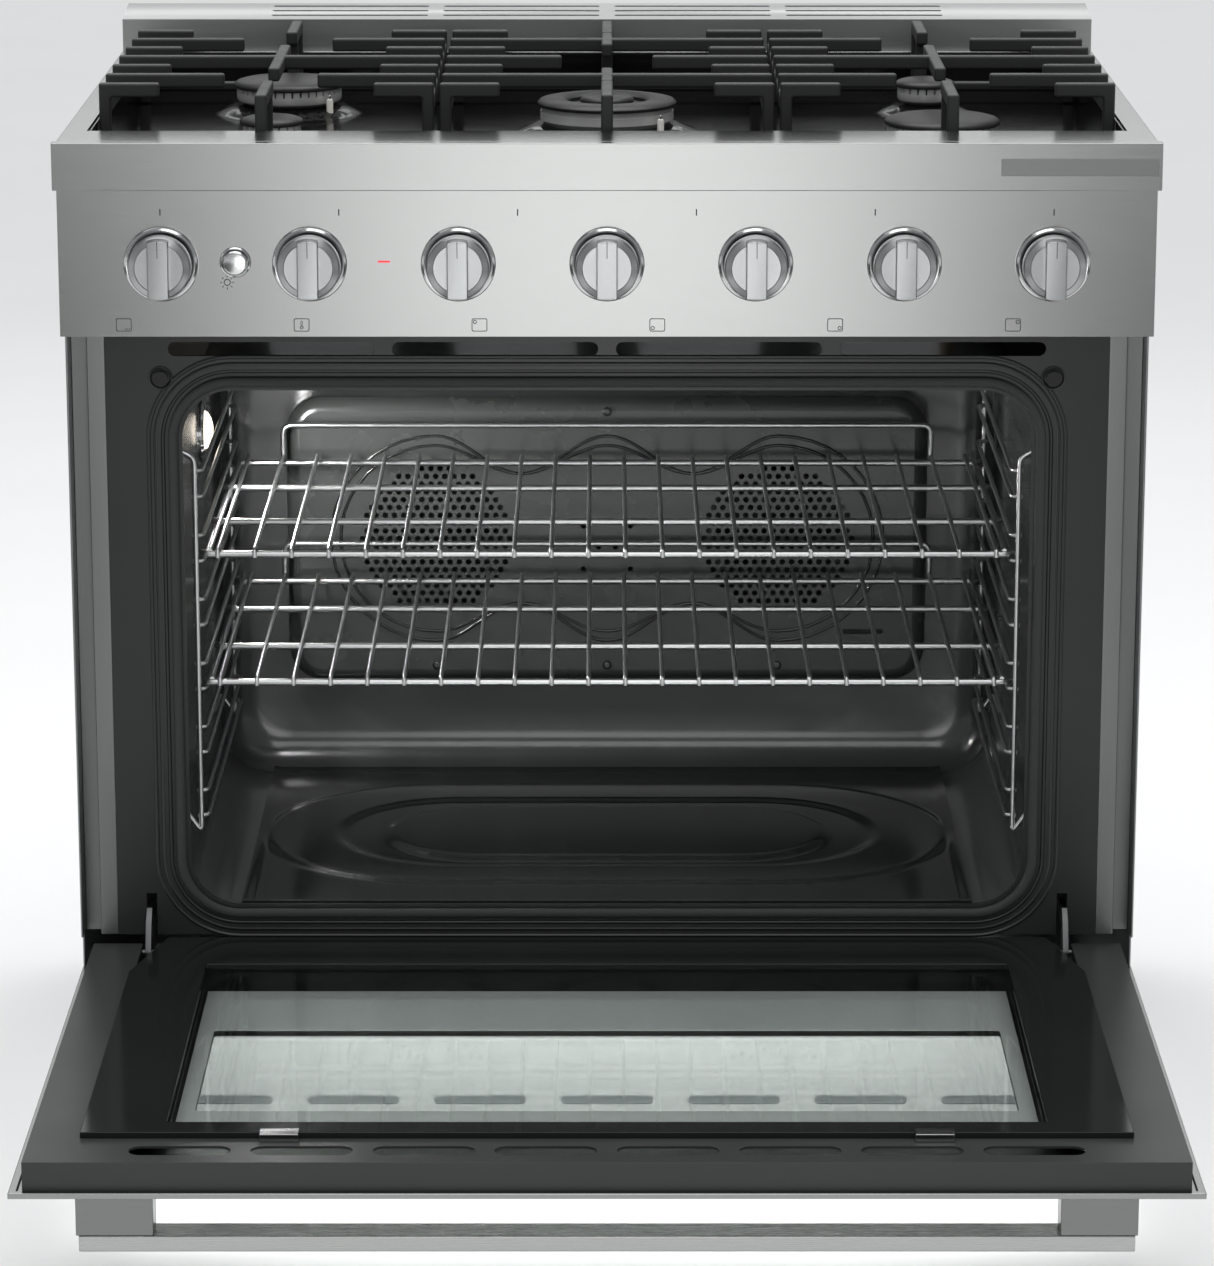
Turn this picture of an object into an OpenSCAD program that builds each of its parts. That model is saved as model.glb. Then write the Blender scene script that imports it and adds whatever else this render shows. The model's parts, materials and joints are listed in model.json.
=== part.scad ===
// Freestanding gas range, shown with its oven door open.
// +Z is up and the front faces -Y. The origin is on the floor, in the middle of the floor area covered.
// Depths ("_d" values) are measured back from the face of the front trim, heights from the floor.

/* [Overall size] */
// Width over the front trim
range_w = 913; // [900:1:1120]
// Depth from the front trim to the rear cover
range_d = 658; // [650:1:800]
// Height of the hob surface above the floor
hob_h = 914; // [900:1:1110]
// Rise of the backguard's front edge above the hob
guard_rise = 29; // [20:1:60]
// Extra rise of the backguard's rear edge
guard_slope = 7.5; // [0:0.5:15]
// Depth of the backguard, front to back
guard_d = 64; // [50:1:90]

/* [Sheet metal and glass] */
// Thickness of the folded sheet metal
sheet = 2; // [1.2:0.1:2.4]
// Thickness of each pane of glass
glass_t = 5; // [3:0.5:6]
// Radius of the fine wires of racks and guides
wire_r = 2; // [1.5:0.1:2.4]
// Radius of the heavy wires of racks
frame_wire_r = 3; // [2:0.1:3.5]
// Free gap between pieces that move past each other
gap = 0.5; // [0.4:0.1:1]

/* [Front trim and control panel] */
// Height of the front trim rail
trim_h = 39.4; // [30:0.1:50]
// How far the trim stands out past the body on each side
trim_over = 3.1; // [3:0.1:6]
// Height of the control panel
panel_h = 122.6; // [110:0.1:150]
// Depth of the control panel's face behind the trim
panel_d = 5; // [3:0.5:8]
// Knob axis above the control panel's lower edge
knob_rise = 61; // [50:0.5:70]
// Outer knob axis in from the control panel's end
knob_end = 85; // [60:1:100]
// Radius of a knob's skirt
knob_r = 26; // [20:0.5:28]
// How far a knob stands out from its back face
knob_len = 27; // [20:0.5:32]
// Width of a knob's raised grip bar
grip_w = 17; // [10:0.5:20]
// Radius of a knob's bezel ring
bezel_r = 31; // [30:0.5:36]
// Radius of a valve stem
stem_r = 4; // [3:0.5:5]
// Push travel of a burner knob
push = 3; // [2:0.5:3]
// Radius of the light button
button_r = 10; // [7:0.5:12]
// Push travel of the light button
button_push = 2; // [1:0.5:3]

/* [Oven] */
// Side of the body to the oven's opening
jamb = 95.4; // [90:0.1:110]
// Lower edge of the oven's opening
opening_z = 246.5; // [240:0.5:260]
// Control panel to the oven's opening
head_h = 54.3; // [50:0.1:80]
// Corner radius of the oven's opening
opening_r = 42; // [20:1:60]
// Depth of the front frame's face
frame_d = 50; // [50:0.5:60]
// Thickness of the front frame
frame_t = 3; // [2:0.5:4]
// Depth of the oven's rear wall
cavity_d = 515; // [500:1:560]
// Lowest rack position
guide_z = 319.6; // [300:0.1:340]
// Height from one rack position to the next
guide_pitch = 56.35; // [50:0.05:60]
// Number of rack positions
guide_n = 6; // [4:1:6]
// Rack guide wires in from the oven's wall
guide_in = 19; // [16:1:24]
// Convection fan axis from the centre line
fan_x = 159.7; // [140:0.1:180]
// Radius of a convection fan
fan_r = 60; // [50:1:70]

/* [Door] */
// Depth of the door's hinge axis
hinge_d = 33; // [30:0.5:36]
// Height of the door's hinge axis
hinge_z = 208; // [200:0.5:215]
// Gap between the closed door and the control panel
door_gap = 3; // [2:0.5:5]
// Hinge axis to the door's outer face
door_out = 22; // [18:0.5:24]
// Hinge axis to the top of the door's enamel liner
door_in = 5; // [4:0.5:6]
// Door below the hinge axis when closed
door_down = 16; // [14:0.5:16.5]
// Width of the handle posts
post_w = 60; // [30:1:80]
// Handle's outer face from the door's outer face
handle_out = 68; // [50:1:80]
// Size of the handle bar, along the door's height
handle_h = 29; // [20:1:35]
// Thickness of the handle bar
handle_t = 13; // [10:0.5:18]

/* [Hob] */
// Height of the grates above the hob surface
grate_rise = 29.5; // [20:0.5:40]
// Width of the grate bars
bar_w = 10; // [8:0.5:12]
// Height of the grate bars
bar_h = 12; // [8:0.5:16]
// Depth of the recessed burner tray below the hob surface
tray_depth = 38; // [30:0.5:45]
// Side margin of the hob top around the tray
hob_side = 19.4; // [15:0.1:30]
// Radius of a large burner cap
cap_big_r = 50; // [40:0.5:55]
// Radius of a small burner cap
cap_small_r = 27.5; // [22:0.5:32]
// Outer radius of the dual burner's ring cap
cap_ring_r = 61.5; // [55:0.5:66]

/* [Hidden] */
$fn = 48;

// Frame and body
body_x = range_w / 2 - trim_over;
trim_z = hob_h - trim_h;
panel_z = trim_z - panel_h;
door_up = panel_z - door_gap - hinge_z;
front_y = (door_up - hinge_d - range_d) / 2;
back_d = range_d;
guard_front_d = range_d - guard_d;
side_d = 40;
low_side_d = 52;
foot_h = 60;
frame_z = 219;
frame_top = panel_z + 6;
post_out_x = body_x - 16.6;
post_in_x = post_out_x - 15.1;
kick_d = 30;
kick_top = 176;
top_fold = 12;

// Oven
open_x = body_x - jamb;
open_top = panel_z - head_h;
open_mid = (opening_z + open_top) / 2;
open_h = open_top - opening_z;
liner_gap = 5;
liner_x = open_x + liner_gap;
liner_z0 = opening_z - liner_gap;
liner_z1 = open_top + liner_gap;
liner_front = frame_d + frame_t;
guide_x = liner_x - guide_in;
guide_front_d = 70;
guide_back_d = 465;
guide_rise = 22.5;
baffle_d = 470;
baffle_x = 299;
baffle_z0 = 334;
baffle_z1 = 607;
baffle_r = 33;
fan_z = 473;
fan_d = 480;
fan_shaft_r = 4;
motor_r = 40;
rack_front_d = 75;
rack_back_d = 458;
rack_wires = 22;
lamp_d = 300;
probe_x = -310;
probe_z = 650;
probe_r = 3;
lamp_z = 612;
arm_x0 = open_x + 34;
arm_t = 5;

// Knobs
knob_n = 7;
knob_z = panel_z + knob_rise;
knob_pitch = (2 * body_x - 2 * knob_end) / (knob_n - 1);
bezel_t = 4;
knob_back_d = panel_d - bezel_t - 1 - push;
valve_d = 28;
valve_r = 11;
valve_len = 34;
rail_size = 20;
stem_in = 18;
button_x = -2.5 * knob_pitch;
lamp_x = -1.5 * knob_pitch;

// Hob
tray_x = body_x - hob_side;
tray_front_d = 72;
tray_back_d = guard_front_d - 8;
tray_z = hob_h - tray_depth;
grate_n = 3;
grate_gap = 5;
grate_side = sheet + 1;
grate_w = (2 * (tray_x - grate_side) - (grate_n - 1) * grate_gap) / grate_n;
grate_pitch = grate_w + grate_gap;
grate_top = hob_h + grate_rise;
grate_front_d = tray_front_d + 3;
grate_back_d = tray_back_d - 4;
row_n = 7;
row_front_d = 150;
row_back = 72;
row_pitch = (grate_back_d - row_front_d - row_back) / (row_n - 1);
short_len = 51;
long_len = 102;
front_burner_d = row_front_d + row_pitch;
mid_burner_d = row_front_d + 3 * row_pitch;
rear_burner_d = row_front_d + 5 * row_pitch;
dish_h = 8;
burner_head_h = 16;
cap_t = 8;
tie_z = 12;

// Each burner: side of the middle (-1, 0, 1), depth, cap radius
BURNERS = [
    [-1, rear_burner_d, cap_big_r], [-1, front_burner_d, cap_small_r], [0, mid_burner_d, cap_ring_r],
    [1, rear_burner_d, cap_small_r], [1, front_burner_d, cap_big_r]];

// Depth behind the trim's face to Y
function at(d) = front_y + d;

// ---- shared shapes ----
// Block from its lowest to its highest corner, with Y given as depths
module block(x0, x1, d0, d1, z0, z1)
    translate([x0, at(d0), z0]) cube([x1 - x0, d1 - d0, z1 - z0]);

// Outline drawn in X and Z, made into a plate t thick whose front is at depth d
module plate(d, t) translate([0, at(d) + t, 0]) rotate([90, 0, 0]) linear_extrude(t) children();

// Outline drawn in Y (as depth) and Z, run along X
module run(x0, x1) translate([x0, front_y, 0]) rotate([90, 0, 90]) linear_extrude(x1 - x0) children();

module round_rect(w, h, r) {
    square([w - 2 * r, h], center = true);
    square([w, h - 2 * r], center = true);
    for (sx = [-1, 1], sy = [-1, 1]) translate([sx * (w / 2 - r), sy * (h / 2 - r)]) circle(r);
}

// Slot with round ends, w wide over all and h high
module slot(w, h) {
    square([w - h, h], center = true);
    for (s = [-1, 1]) translate([s * (w - h) / 2, 0]) circle(h / 2);
}

module at_xz(x, z) translate([x, z]) children();
module both_sides() {
    children();
    mirror([1, 0, 0]) children();
}

// Rods along each axis, from one end to the other
module rod_x(x0, x1, d, z, r) translate([x0, at(d), z]) rotate([0, 90, 0]) cylinder(h = x1 - x0, r = r);
module rod_y(x, d0, d1, z, r) translate([x, at(d0), z]) rotate([-90, 0, 0]) cylinder(h = d1 - d0, r = r);
module rod_z(x, d, z0, z1, r) translate([x, at(d), z0]) cylinder(h = z1 - z0, r = r);

// ---- body ----
module side_panels() color("#8d8f8e") both_sides() run(body_x - sheet, body_x)
    polygon([[low_side_d, foot_h], [low_side_d, frame_z], [side_d, frame_z], [side_d, trim_z],
        [back_d - sheet, trim_z], [back_d - sheet, foot_h]]);

inlet_x = 330;
inlet_z = 150;
inlet_r = 10.67;
inlet_len = 22;
gland_x = -330;
gland_r = 9;
inlet_cutout = 64;
louvre_w = 120;
louvre_pitch = 180;
module rear_cover() color("#9a9c9b") difference() {
    plate(back_d - sheet, sheet) translate([-body_x, foot_h]) square([2 * body_x, trim_z - foot_h]);
    plate(back_d - 2 * sheet, 3 * sheet) {
        at_xz(inlet_x, inlet_z) square(inlet_cutout, center = true);
        at_xz(gland_x, inlet_z) circle(gland_r + 2);
        for (row = [0 : 4], i = [-1.5 : 1.5]) at_xz(i * louvre_pitch, trim_z - 60 - 18 * row) slot(louvre_w, 6);
    }
}

module base_frame() color("#5b5d5e") {
    fold = 24;
    x = body_x - sheet;
    block(-x, x, low_side_d + sheet, back_d - sheet, foot_h, foot_h + sheet);
    block(-x, x, low_side_d + sheet, low_side_d + 2 * sheet, foot_h + sheet, foot_h + fold);
    block(-x, x, back_d - 2 * sheet, back_d - sheet, foot_h + sheet, foot_h + fold);
}

foot_x = body_x - 50;
foot_r = 20;
foot_t = 10;
foot_stem_r = 8;
module levelling_feet() color("#3a3b3c") for (x = [-foot_x, foot_x], d = [110, back_d - 60]) {
    rod_z(x, d, 0, foot_t, foot_r);
    rod_z(x, d, foot_t, foot_h, foot_stem_r);
}

module kick_panel() color("#a8aaa9") {
    z0 = foot_h - 15;
    vent_w = 80;
    vent_pitch = 110;
    difference() {
        block(-body_x, body_x, kick_d, kick_d + sheet, z0, kick_top);
        plate(kick_d - sheet, 3 * sheet) for (i = [-3 : 3]) at_xz(i * vent_pitch, z0 + 30) slot(vent_w, 8);
    }
    both_sides() block(body_x - sheet, body_x, kick_d + sheet, low_side_d, z0, kick_top);
    block(-body_x + sheet, body_x - sheet, kick_d + sheet, low_side_d, kick_top - sheet, kick_top);
}

vent_h = 12;
vent_w = 173;
bumper_x = open_x + 17;
bumper_z = open_top + 10.5;
module frame_outline() translate([-post_in_x, frame_z]) square([2 * post_in_x, frame_top - frame_z]);
module front_frame() color("#3c3e3d") {
    bead = 1.5;
    difference() {
        plate(frame_d, frame_t) frame_outline();
        plate(frame_d - sheet, frame_t + 2 * sheet) {
            at_xz(0, open_mid) round_rect(2 * open_x, open_h, opening_r);
            for (i = [-1.5 : 1.5]) at_xz(i * (vent_w + 15), panel_z - 19) slot(vent_w, vent_h);
            for (s = [-1, 1]) {
                at_xz(s * (arm_x0 + arm_t / 2 - 2), frame_z + 12) square([arm_t + 4, 50], center = true);
                at_xz(s * bumper_x, bumper_z) circle(5);
            }
        }
    }
    // pressed bead around the opening, just outside the gasket
    difference() {
        plate(frame_d - bead, bead) at_xz(0, open_mid)
            round_rect(2 * open_x + 46, open_h + 46, opening_r + 23);
        plate(frame_d - 2 * bead, 2 * bead) at_xz(0, open_mid)
            round_rect(2 * open_x + 36, open_h + 36, opening_r + 18);
        for (s = [-1, 1]) translate([s * bumper_x, at(frame_d) - 2 * bead, bumper_z])
            rotate([-90, 0, 0]) cylinder(h = 2 * bead, r = 10);
    }
}

module front_posts() color("#b4b6b5") both_sides() translate([0, front_y, frame_z])
    linear_extrude(frame_top - frame_z) polygon([[post_in_x, frame_d], [post_out_x, frame_d],
        [post_out_x, frame_d + 14], [body_x - sheet, frame_d + 14], [body_x - sheet, frame_d + 16],
        [post_out_x - sheet, frame_d + 16], [post_out_x - sheet, frame_d + sheet],
        [post_in_x, frame_d + sheet]]);

pin_r = 3;
module hinge_arms() color("#8a8c8c") both_sides() difference() {
    run(arm_x0, arm_x0 + arm_t) {
        translate([hinge_d, hinge_z]) circle(9);
        translate([hinge_d, hinge_z]) polygon([[-8, 4], [2, 26], [14, 36], [44, 36], [44, 20], [30, 20],
            [26, 26], [18, 22], [8, -4]]);
    }
    rod_x(arm_x0 - 1, arm_x0 + arm_t + 1, hinge_d, hinge_z, pin_r + gap);
}

module frame_bumpers() color("#161616") for (s = [-1, 1]) {
    translate([s * bumper_x, at(frame_d), bumper_z]) rotate([90, 0, 0]) cylinder(h = 5, r = 6.5);
    translate([s * bumper_x, at(frame_d + frame_t), bumper_z]) rotate([90, 0, 0]) cylinder(h = frame_t, r = 5);
}

gasket_in = 3;
gasket_w = 9;
module door_gasket() color("#2b2c2c") difference() {
    plate(frame_d - 6, 6) at_xz(0, open_mid) round_rect(2 * (open_x + gasket_in + gasket_w),
        open_h + 2 * (gasket_in + gasket_w), opening_r + gasket_in + gasket_w);
    plate(frame_d - 7, 8) at_xz(0, open_mid) round_rect(2 * (open_x + gasket_in),
        open_h + 2 * gasket_in, opening_r + gasket_in);
}

// ---- oven ----
module oven_liner() color("#3a3d3c") difference() {
    union() {
        difference() {
            plate(liner_front, cavity_d - liner_front) at_xz(0, open_mid) round_rect(2 * (liner_x + sheet),
                open_h + 2 * (liner_gap + sheet), opening_r + liner_gap + sheet);
            plate(liner_front - 1, cavity_d - liner_front + 2) at_xz(0, open_mid)
                round_rect(2 * liner_x, open_h + 2 * liner_gap, opening_r + liner_gap);
        }
        plate(cavity_d, sheet) at_xz(0, open_mid) round_rect(2 * (liner_x + sheet),
            open_h + 2 * (liner_gap + sheet), opening_r + liner_gap + sheet);
    }
    for (s = [-1, 1]) rod_y(s * fan_x, cavity_d - 1, cavity_d + sheet + 1, fan_z, fan_shaft_r + 2);
    rod_x(-liner_x - sheet - 1, -liner_x + 1, lamp_d, lamp_z, lamp_r + 2);
    rod_y(probe_x, cavity_d - 1, cavity_d + sheet + 1, probe_z, probe_r);
}

floor_x = liner_x - opening_r - liner_gap;
floor_front_d = 62;
floor_back_d = 500;
// Pressed ovals in the floor panel: length, width
OVALS = [[616, 314], [482, 209], [396, 165]];
module oven_floor_panel() color("#35383a") {
    t = 1.5;
    z0 = liner_z0;
    block(-floor_x, floor_x, floor_front_d, floor_back_d, z0, z0 + t);
    for (o = OVALS) translate([0, at(279), z0 + t]) linear_extrude(t) difference() {
        slot(o[0], o[1]);
        slot(o[0] - 12, o[1] - 12);
    }
}

bake_r = 10;
bake_z = liner_z0 - 30;
bake_front_d = 160;
bake_back_d = 400;
broil_x = 150;
module oven_burners() color("#77797a") {
    // bake burner: a tube with two runs below the oven's floor
    for (d = [bake_front_d, bake_back_d]) rod_x(-230, 230, d, bake_z, bake_r);
    rod_y(0, bake_front_d + bake_r, bake_back_d - bake_r, bake_z, bake_r);
    // broil burner: a flat radiant box under the oven's roof
    block(-broil_x, broil_x, 150, 400, liner_z1 - 16, liner_z1);
}

intake_pitch = 18;
intake_r = 4;
module fan_baffle() color("#454847") {
    depth = cavity_d - baffle_d;
    w = 2 * baffle_x;
    h = baffle_z1 - baffle_z0;
    mid = (baffle_z0 + baffle_z1) / 2;
    difference() {
        plate(baffle_d, depth) at_xz(0, mid) round_rect(w, h, baffle_r);
        plate(baffle_d + sheet, depth) at_xz(0, mid) round_rect(w - 2 * sheet, h - 2 * sheet, baffle_r - sheet);
        plate(baffle_d - 1, sheet + 2) {
            // rings of intake holes in front of each fan
            for (s = [-1, 1], ring = [1 : 3], i = [0 : 6 * ring - 1]) {
                r = ring * intake_pitch;
                a = 60 * i / ring;
                at_xz(s * fan_x + r * cos(a), fan_z + r * sin(a)) circle(intake_r);
            }
            at_xz(240, 383.5) slot(38, 5);
            at_xz(232, 368.5) slot(53, 5);
        }
    }
}

module fan_motors() color("#606264") for (s = [-1, 1]) difference() {
    rod_y(s * fan_x, cavity_d + sheet, cavity_d + 62, fan_z, motor_r);
    rod_y(s * fan_x, cavity_d + sheet - 1, cavity_d + 50, fan_z, fan_shaft_r + gap);
}

module fan(s) color("#8f9192") {
    blades = 8;
    hub_r = 12;
    rod_y(s * fan_x, fan_d + 4, cavity_d + 40, fan_z, fan_shaft_r);
    rod_y(s * fan_x, fan_d, fan_d + 22, fan_z, hub_r);
    rod_y(s * fan_x, fan_d + 20, fan_d + 22, fan_z, fan_r);
    for (i = [0 : blades - 1]) translate([s * fan_x, at(fan_d + 2), fan_z]) rotate([0, 360 * i / blades, 0])
        translate([hub_r - 2, 0, -1]) cube([fan_r - hub_r - 4, 19, 2]);
}
module fan_left() fan(-1);
module fan_right() fan(1);

module rack_guides() color("#c3c5c5") both_sides() {
    top = guide_z + (guide_n - 1) * guide_pitch + guide_rise;
    // uprights, and pegs that hook into the oven's wall
    for (d = [guide_front_d, guide_back_d]) {
        rod_z(guide_x + 6, d, guide_z - 20, top + 20, wire_r + 0.5);
        for (z = [guide_z + 20, top]) rod_x(guide_x + 6, liner_x, d, z, wire_r);
    }
    // each position: a wire that carries the rack and one that keeps it from tipping
    for (i = [0 : guide_n - 1], up = [0, guide_rise]) translate([0, 0, guide_z + i * guide_pitch + up]) {
        rod_y(guide_x, guide_front_d, guide_back_d, 0, wire_r);
        for (d = [guide_front_d, guide_back_d]) rod_x(guide_x, guide_x + 6, d, 0, wire_r);
    }
}

// A wire rack whose heavy wires rest on the guide wires at height z; weld is how far wires sink together
weld = 0.6;
module rack(z) color("#d4d6d6") {
    low = z + wire_r + gap + frame_wire_r;
    fine = low + frame_wire_r + wire_r - weld;
    fine_x = guide_x - 12;
    step = 2 * fine_x / (rack_wires - 1);
    stop_x = fine_x - step;
    stop_h = 28;
    for (d = [rack_front_d, rack_front_d + 125, rack_front_d + 262, rack_back_d - 10])
        rod_x(-guide_x - 2, guide_x + 2, d, low, frame_wire_r);
    for (i = [0 : rack_wires - 1])
        rod_y(-fine_x + i * step, rack_front_d - 2.2, rack_back_d, fine, wire_r);
    // raised stop across the back
    for (s = [-1, 1]) rod_z(s * stop_x, rack_back_d - 1, fine - wire_r - 1, fine + stop_h, frame_wire_r);
    rod_x(-stop_x - 1, stop_x + 1, rack_back_d - 1, fine + stop_h + 1, frame_wire_r);
}
module rack_upper() rack(guide_z + 4 * guide_pitch);
module rack_lower() rack(guide_z + 2 * guide_pitch);

lamp_r = 20;
lamp_flange_r = 30;
module oven_lamp() color("#fff3d6") translate([-liner_x, at(lamp_d), lamp_z]) rotate([0, 90, 0])
    rotate_extrude() polygon([[0, -30], [lamp_r, -30], [lamp_r, 0], [lamp_flange_r, 0], [lamp_flange_r, 4],
        [24, 9], [14, 12], [0, 13]]);

module temperature_probe() color("#b9bbbb") {
    rod_y(probe_x, cavity_d - 58, cavity_d + sheet + 20, probe_z, probe_r);
    rod_y(probe_x, cavity_d + sheet, cavity_d + sheet + 6, probe_z, 3 * probe_r);
}

// ---- hob ----
module hob_top() color("#c2c4c3") {
    difference() {
        block(-body_x, body_x, top_fold, guard_front_d, hob_h - sheet, hob_h);
        block(-tray_x, tray_x, tray_front_d, tray_back_d, hob_h - sheet - 1, hob_h + 1);
    }
    both_sides() block(body_x - sheet, body_x, top_fold, guard_front_d, trim_z, hob_h - sheet);
}

module front_trim() color("#b9bbba") {
    x = range_w / 2;
    block(-x, x, 0, sheet, trim_z, hob_h);
    block(-body_x, body_x, sheet, top_fold, hob_h - sheet, hob_h);
    block(-body_x, body_x, sheet, top_fold, trim_z, trim_z + sheet);
    both_sides() block(body_x, x, sheet, top_fold, trim_z, hob_h);
}

badge_w = 129.5;
badge_h = 14;
module badge_plate() color("#9fa1a0") translate([body_x - badge_w, at(-1.5), trim_z + 12.4])
    cube([badge_w, 1.5, badge_h]);

module backguard() color("#c4c6c5") {
    z1 = hob_h + guard_rise;
    z2 = z1 + guard_slope;
    slots = 4;
    slot_w = 147;
    difference() {
        run(-body_x, body_x) difference() {
            polygon([[guard_front_d, trim_z], [guard_front_d, z1], [back_d, z2], [back_d, trim_z]]);
            polygon([[guard_front_d + sheet, trim_z - 1], [guard_front_d + sheet, z1 - sheet],
                [back_d - sheet, z2 - sheet], [back_d - sheet, trim_z - 1]]);
        }
        for (i = [-1.5 : 1.5], row = [0 : 2])
            translate([i * (slot_w + 14), at(guard_front_d + 16 + 18 * row), z1 - 10])
                linear_extrude(30) slot(slot_w, 5);
    }
    both_sides() run(body_x - sheet, body_x) polygon([[guard_front_d + sheet, trim_z],
        [guard_front_d + sheet, z1 - sheet], [back_d - sheet, z2 - sheet], [back_d - sheet, trim_z]]);
}

function burner_x(b) = b[0] * grate_pitch;
dish_r_over = 20;
igniter_r = 3;
igniter_down = 12;
// One igniter stands beside each burner head, towards the front right
module at_igniter(b, z) {
    reach = (b[2] + 5) * cos(45);
    translate([burner_x(b) + reach, at(b[1]) - reach, z]) children();
}
module burner_tray() color("#191a1a") difference() {
    t = sheet;
    union() {
        difference() {
            block(-tray_x, tray_x, tray_front_d, tray_back_d, tray_z - t, hob_h - sheet);
            block(-tray_x + t, tray_x - t, tray_front_d + t, tray_back_d - t, tray_z, hob_h);
        }
        // a shallow cone under each burner
        for (b = BURNERS) translate([burner_x(b), at(b[1]), tray_z]) rotate_extrude()
            polygon([[0, 0], [b[2] + dish_r_over, 0], [b[2], dish_h], [0, dish_h]]);
    }
    for (b = BURNERS) at_igniter(b, tray_z - t - 1) cylinder(h = t + dish_h + 2, r = igniter_r);
}

module burner_heads() color("#b2b4b4") for (b = BURNERS) translate([burner_x(b), at(b[1]), tray_z + dish_h]) {
    r = b[2] - 3;
    rotate_extrude() polygon([[0, 0], [r - 5, 0], [r, 5], [r, burner_head_h], [0, burner_head_h]]);
}

module burner_caps() color("#202121") for (b = BURNERS)
    translate([burner_x(b), at(b[1]), tray_z + dish_h + burner_head_h]) rotate_extrude()
        polygon([[0, 0], [b[2], 0], [b[2], 3], [b[2] - 4, 7], [0, cap_t]]);

module igniters() color("#e6e2d8") for (b = BURNERS) at_igniter(b, tray_z - igniter_down)
    cylinder(h = igniter_down + dish_h + burner_head_h - 3, r = igniter_r);

// A grate: side is -1, 0 or 1
module grate(side) color("#1b1c1c") translate([side * grate_pitch, 0, 0]) {
    x = grate_w / 2;
    z0 = grate_top - bar_h;
    rail_h = 14;
    foot = tray_z;
    rows = [for (i = [0 : row_n - 1]) row_front_d + i * row_pitch];
    full = side == 0 ? [1, 5] : [3];
    long = side == 0 ? [3] : [1, 5];
    // side rails under the bars, with legs at their ends
    for (s = [-1, 1]) {
        x0 = s < 0 ? -x : x - bar_w;
        block(x0, x0 + bar_w, rows[0], rows[row_n - 1], z0 - rail_h, z0);
        for (d = [rows[0], rows[row_n - 1]])
            block(x0, x0 + bar_w, d - bar_w / 2, d + bar_w / 2, foot, z0);
    }
    // bars across, at each row
    for (i = [0 : row_n - 1]) {
        len = len(search(i, full)) > 0 ? x : len(search(i, long)) > 0 ? long_len : short_len;
        for (s = [-1, 1]) block(s < 0 ? -x : x - len, s < 0 ? -x + len : x,
            rows[i] - bar_w / 2, rows[i] + bar_w / 2, z0, grate_top);
    }
    // bars along the middle, and their end legs
    for (p = side == 0 ? [[rows[1] - 40, rows[1] + 40], [rows[5] - 40, rows[5] + 40]]
            : [[rows[3] - 85, rows[3] + 75]])
        block(-bar_w / 2, bar_w / 2, p[0], p[1], z0, grate_top);
    for (e = [[grate_front_d, grate_front_d + 92], [grate_back_d - 88, grate_back_d]])
        block(-bar_w / 2, bar_w / 2, e[0], e[1], z0, grate_top);
    for (d = [grate_front_d, rows[0] - bar_w / 2, rows[row_n - 1] - bar_w / 2, grate_back_d - bar_w])
        block(-bar_w / 2, bar_w / 2, d, d + bar_w, foot + tie_z, z0);
    for (d = [grate_front_d, grate_back_d - bar_w])
        block(-bar_w / 2, bar_w / 2, d, d + bar_w, foot, foot + tie_z);
    // low ties between the legs, hidden behind the middle ones
    for (d = [rows[0], rows[row_n - 1]])
        block(-x, x, d - bar_w / 2, d + bar_w / 2, foot + tie_z, foot + tie_z + 8);
}
module grate_left() grate(-1);
module grate_centre() grate(0);
module grate_right() grate(1);

// ---- control panel ----
button_z = knob_z + 1.6;
function knob_x(n) = (n - (knob_n + 1) / 2) * knob_pitch;
module control_panel() color("#c9cbca") {
    end_d = side_d;
    difference() {
        block(-body_x, body_x, panel_d, panel_d + sheet, panel_z, trim_z);
        for (n = [1 : knob_n]) rod_y(knob_x(n), panel_d - 1, panel_d + sheet + 1, knob_z, stem_r + 2);
        rod_y(button_x, panel_d - 1, panel_d + sheet + 1, button_z, button_r - 3 + gap);
    }
    for (z = [panel_z, trim_z - sheet])
        block(-body_x, body_x, panel_d + sheet, end_d, z, z + sheet);
    both_sides() block(body_x - sheet, body_x, panel_d + sheet, end_d, panel_z + sheet, trim_z - sheet);
}

module knob_bezels() color("#9a9c9c") {
    for (n = [1 : knob_n]) translate([knob_x(n), at(panel_d), knob_z]) rotate([90, 0, 0])
        rotate_extrude() polygon([[knob_r - 8, 0], [bezel_r, 0], [bezel_r, 2.5], [bezel_r - 1.5, bezel_t],
            [knob_r - 8, bezel_t]]);
    translate([button_x, at(panel_d), button_z]) rotate([90, 0, 0])
        rotate_extrude() polygon([[button_r + gap, 0], [button_r + 3, 0], [button_r + 2, 2],
            [button_r + gap, 2]]);
}

module indicator_lamp() color("#ff3030") translate([lamp_x - 5, at(panel_d - 0.6), knob_z + 1.3])
    cube([10, 0.6, 1.4]);

module knob_shape(bore) difference() {
    union() {
        rotate_extrude() polygon([[0, 0], [knob_r, 0], [knob_r, 11], [knob_r - 4, 15], [0, 15]]);
        intersection() {
            translate([-grip_w / 2, -knob_r, 15]) cube([grip_w, 2 * knob_r, knob_len - 15]);
            cylinder(h = knob_len, r = knob_r - 2);
        }
    }
    if (bore > 0) translate([0, 0, -1]) cylinder(h = 20, r = bore);
}

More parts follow.
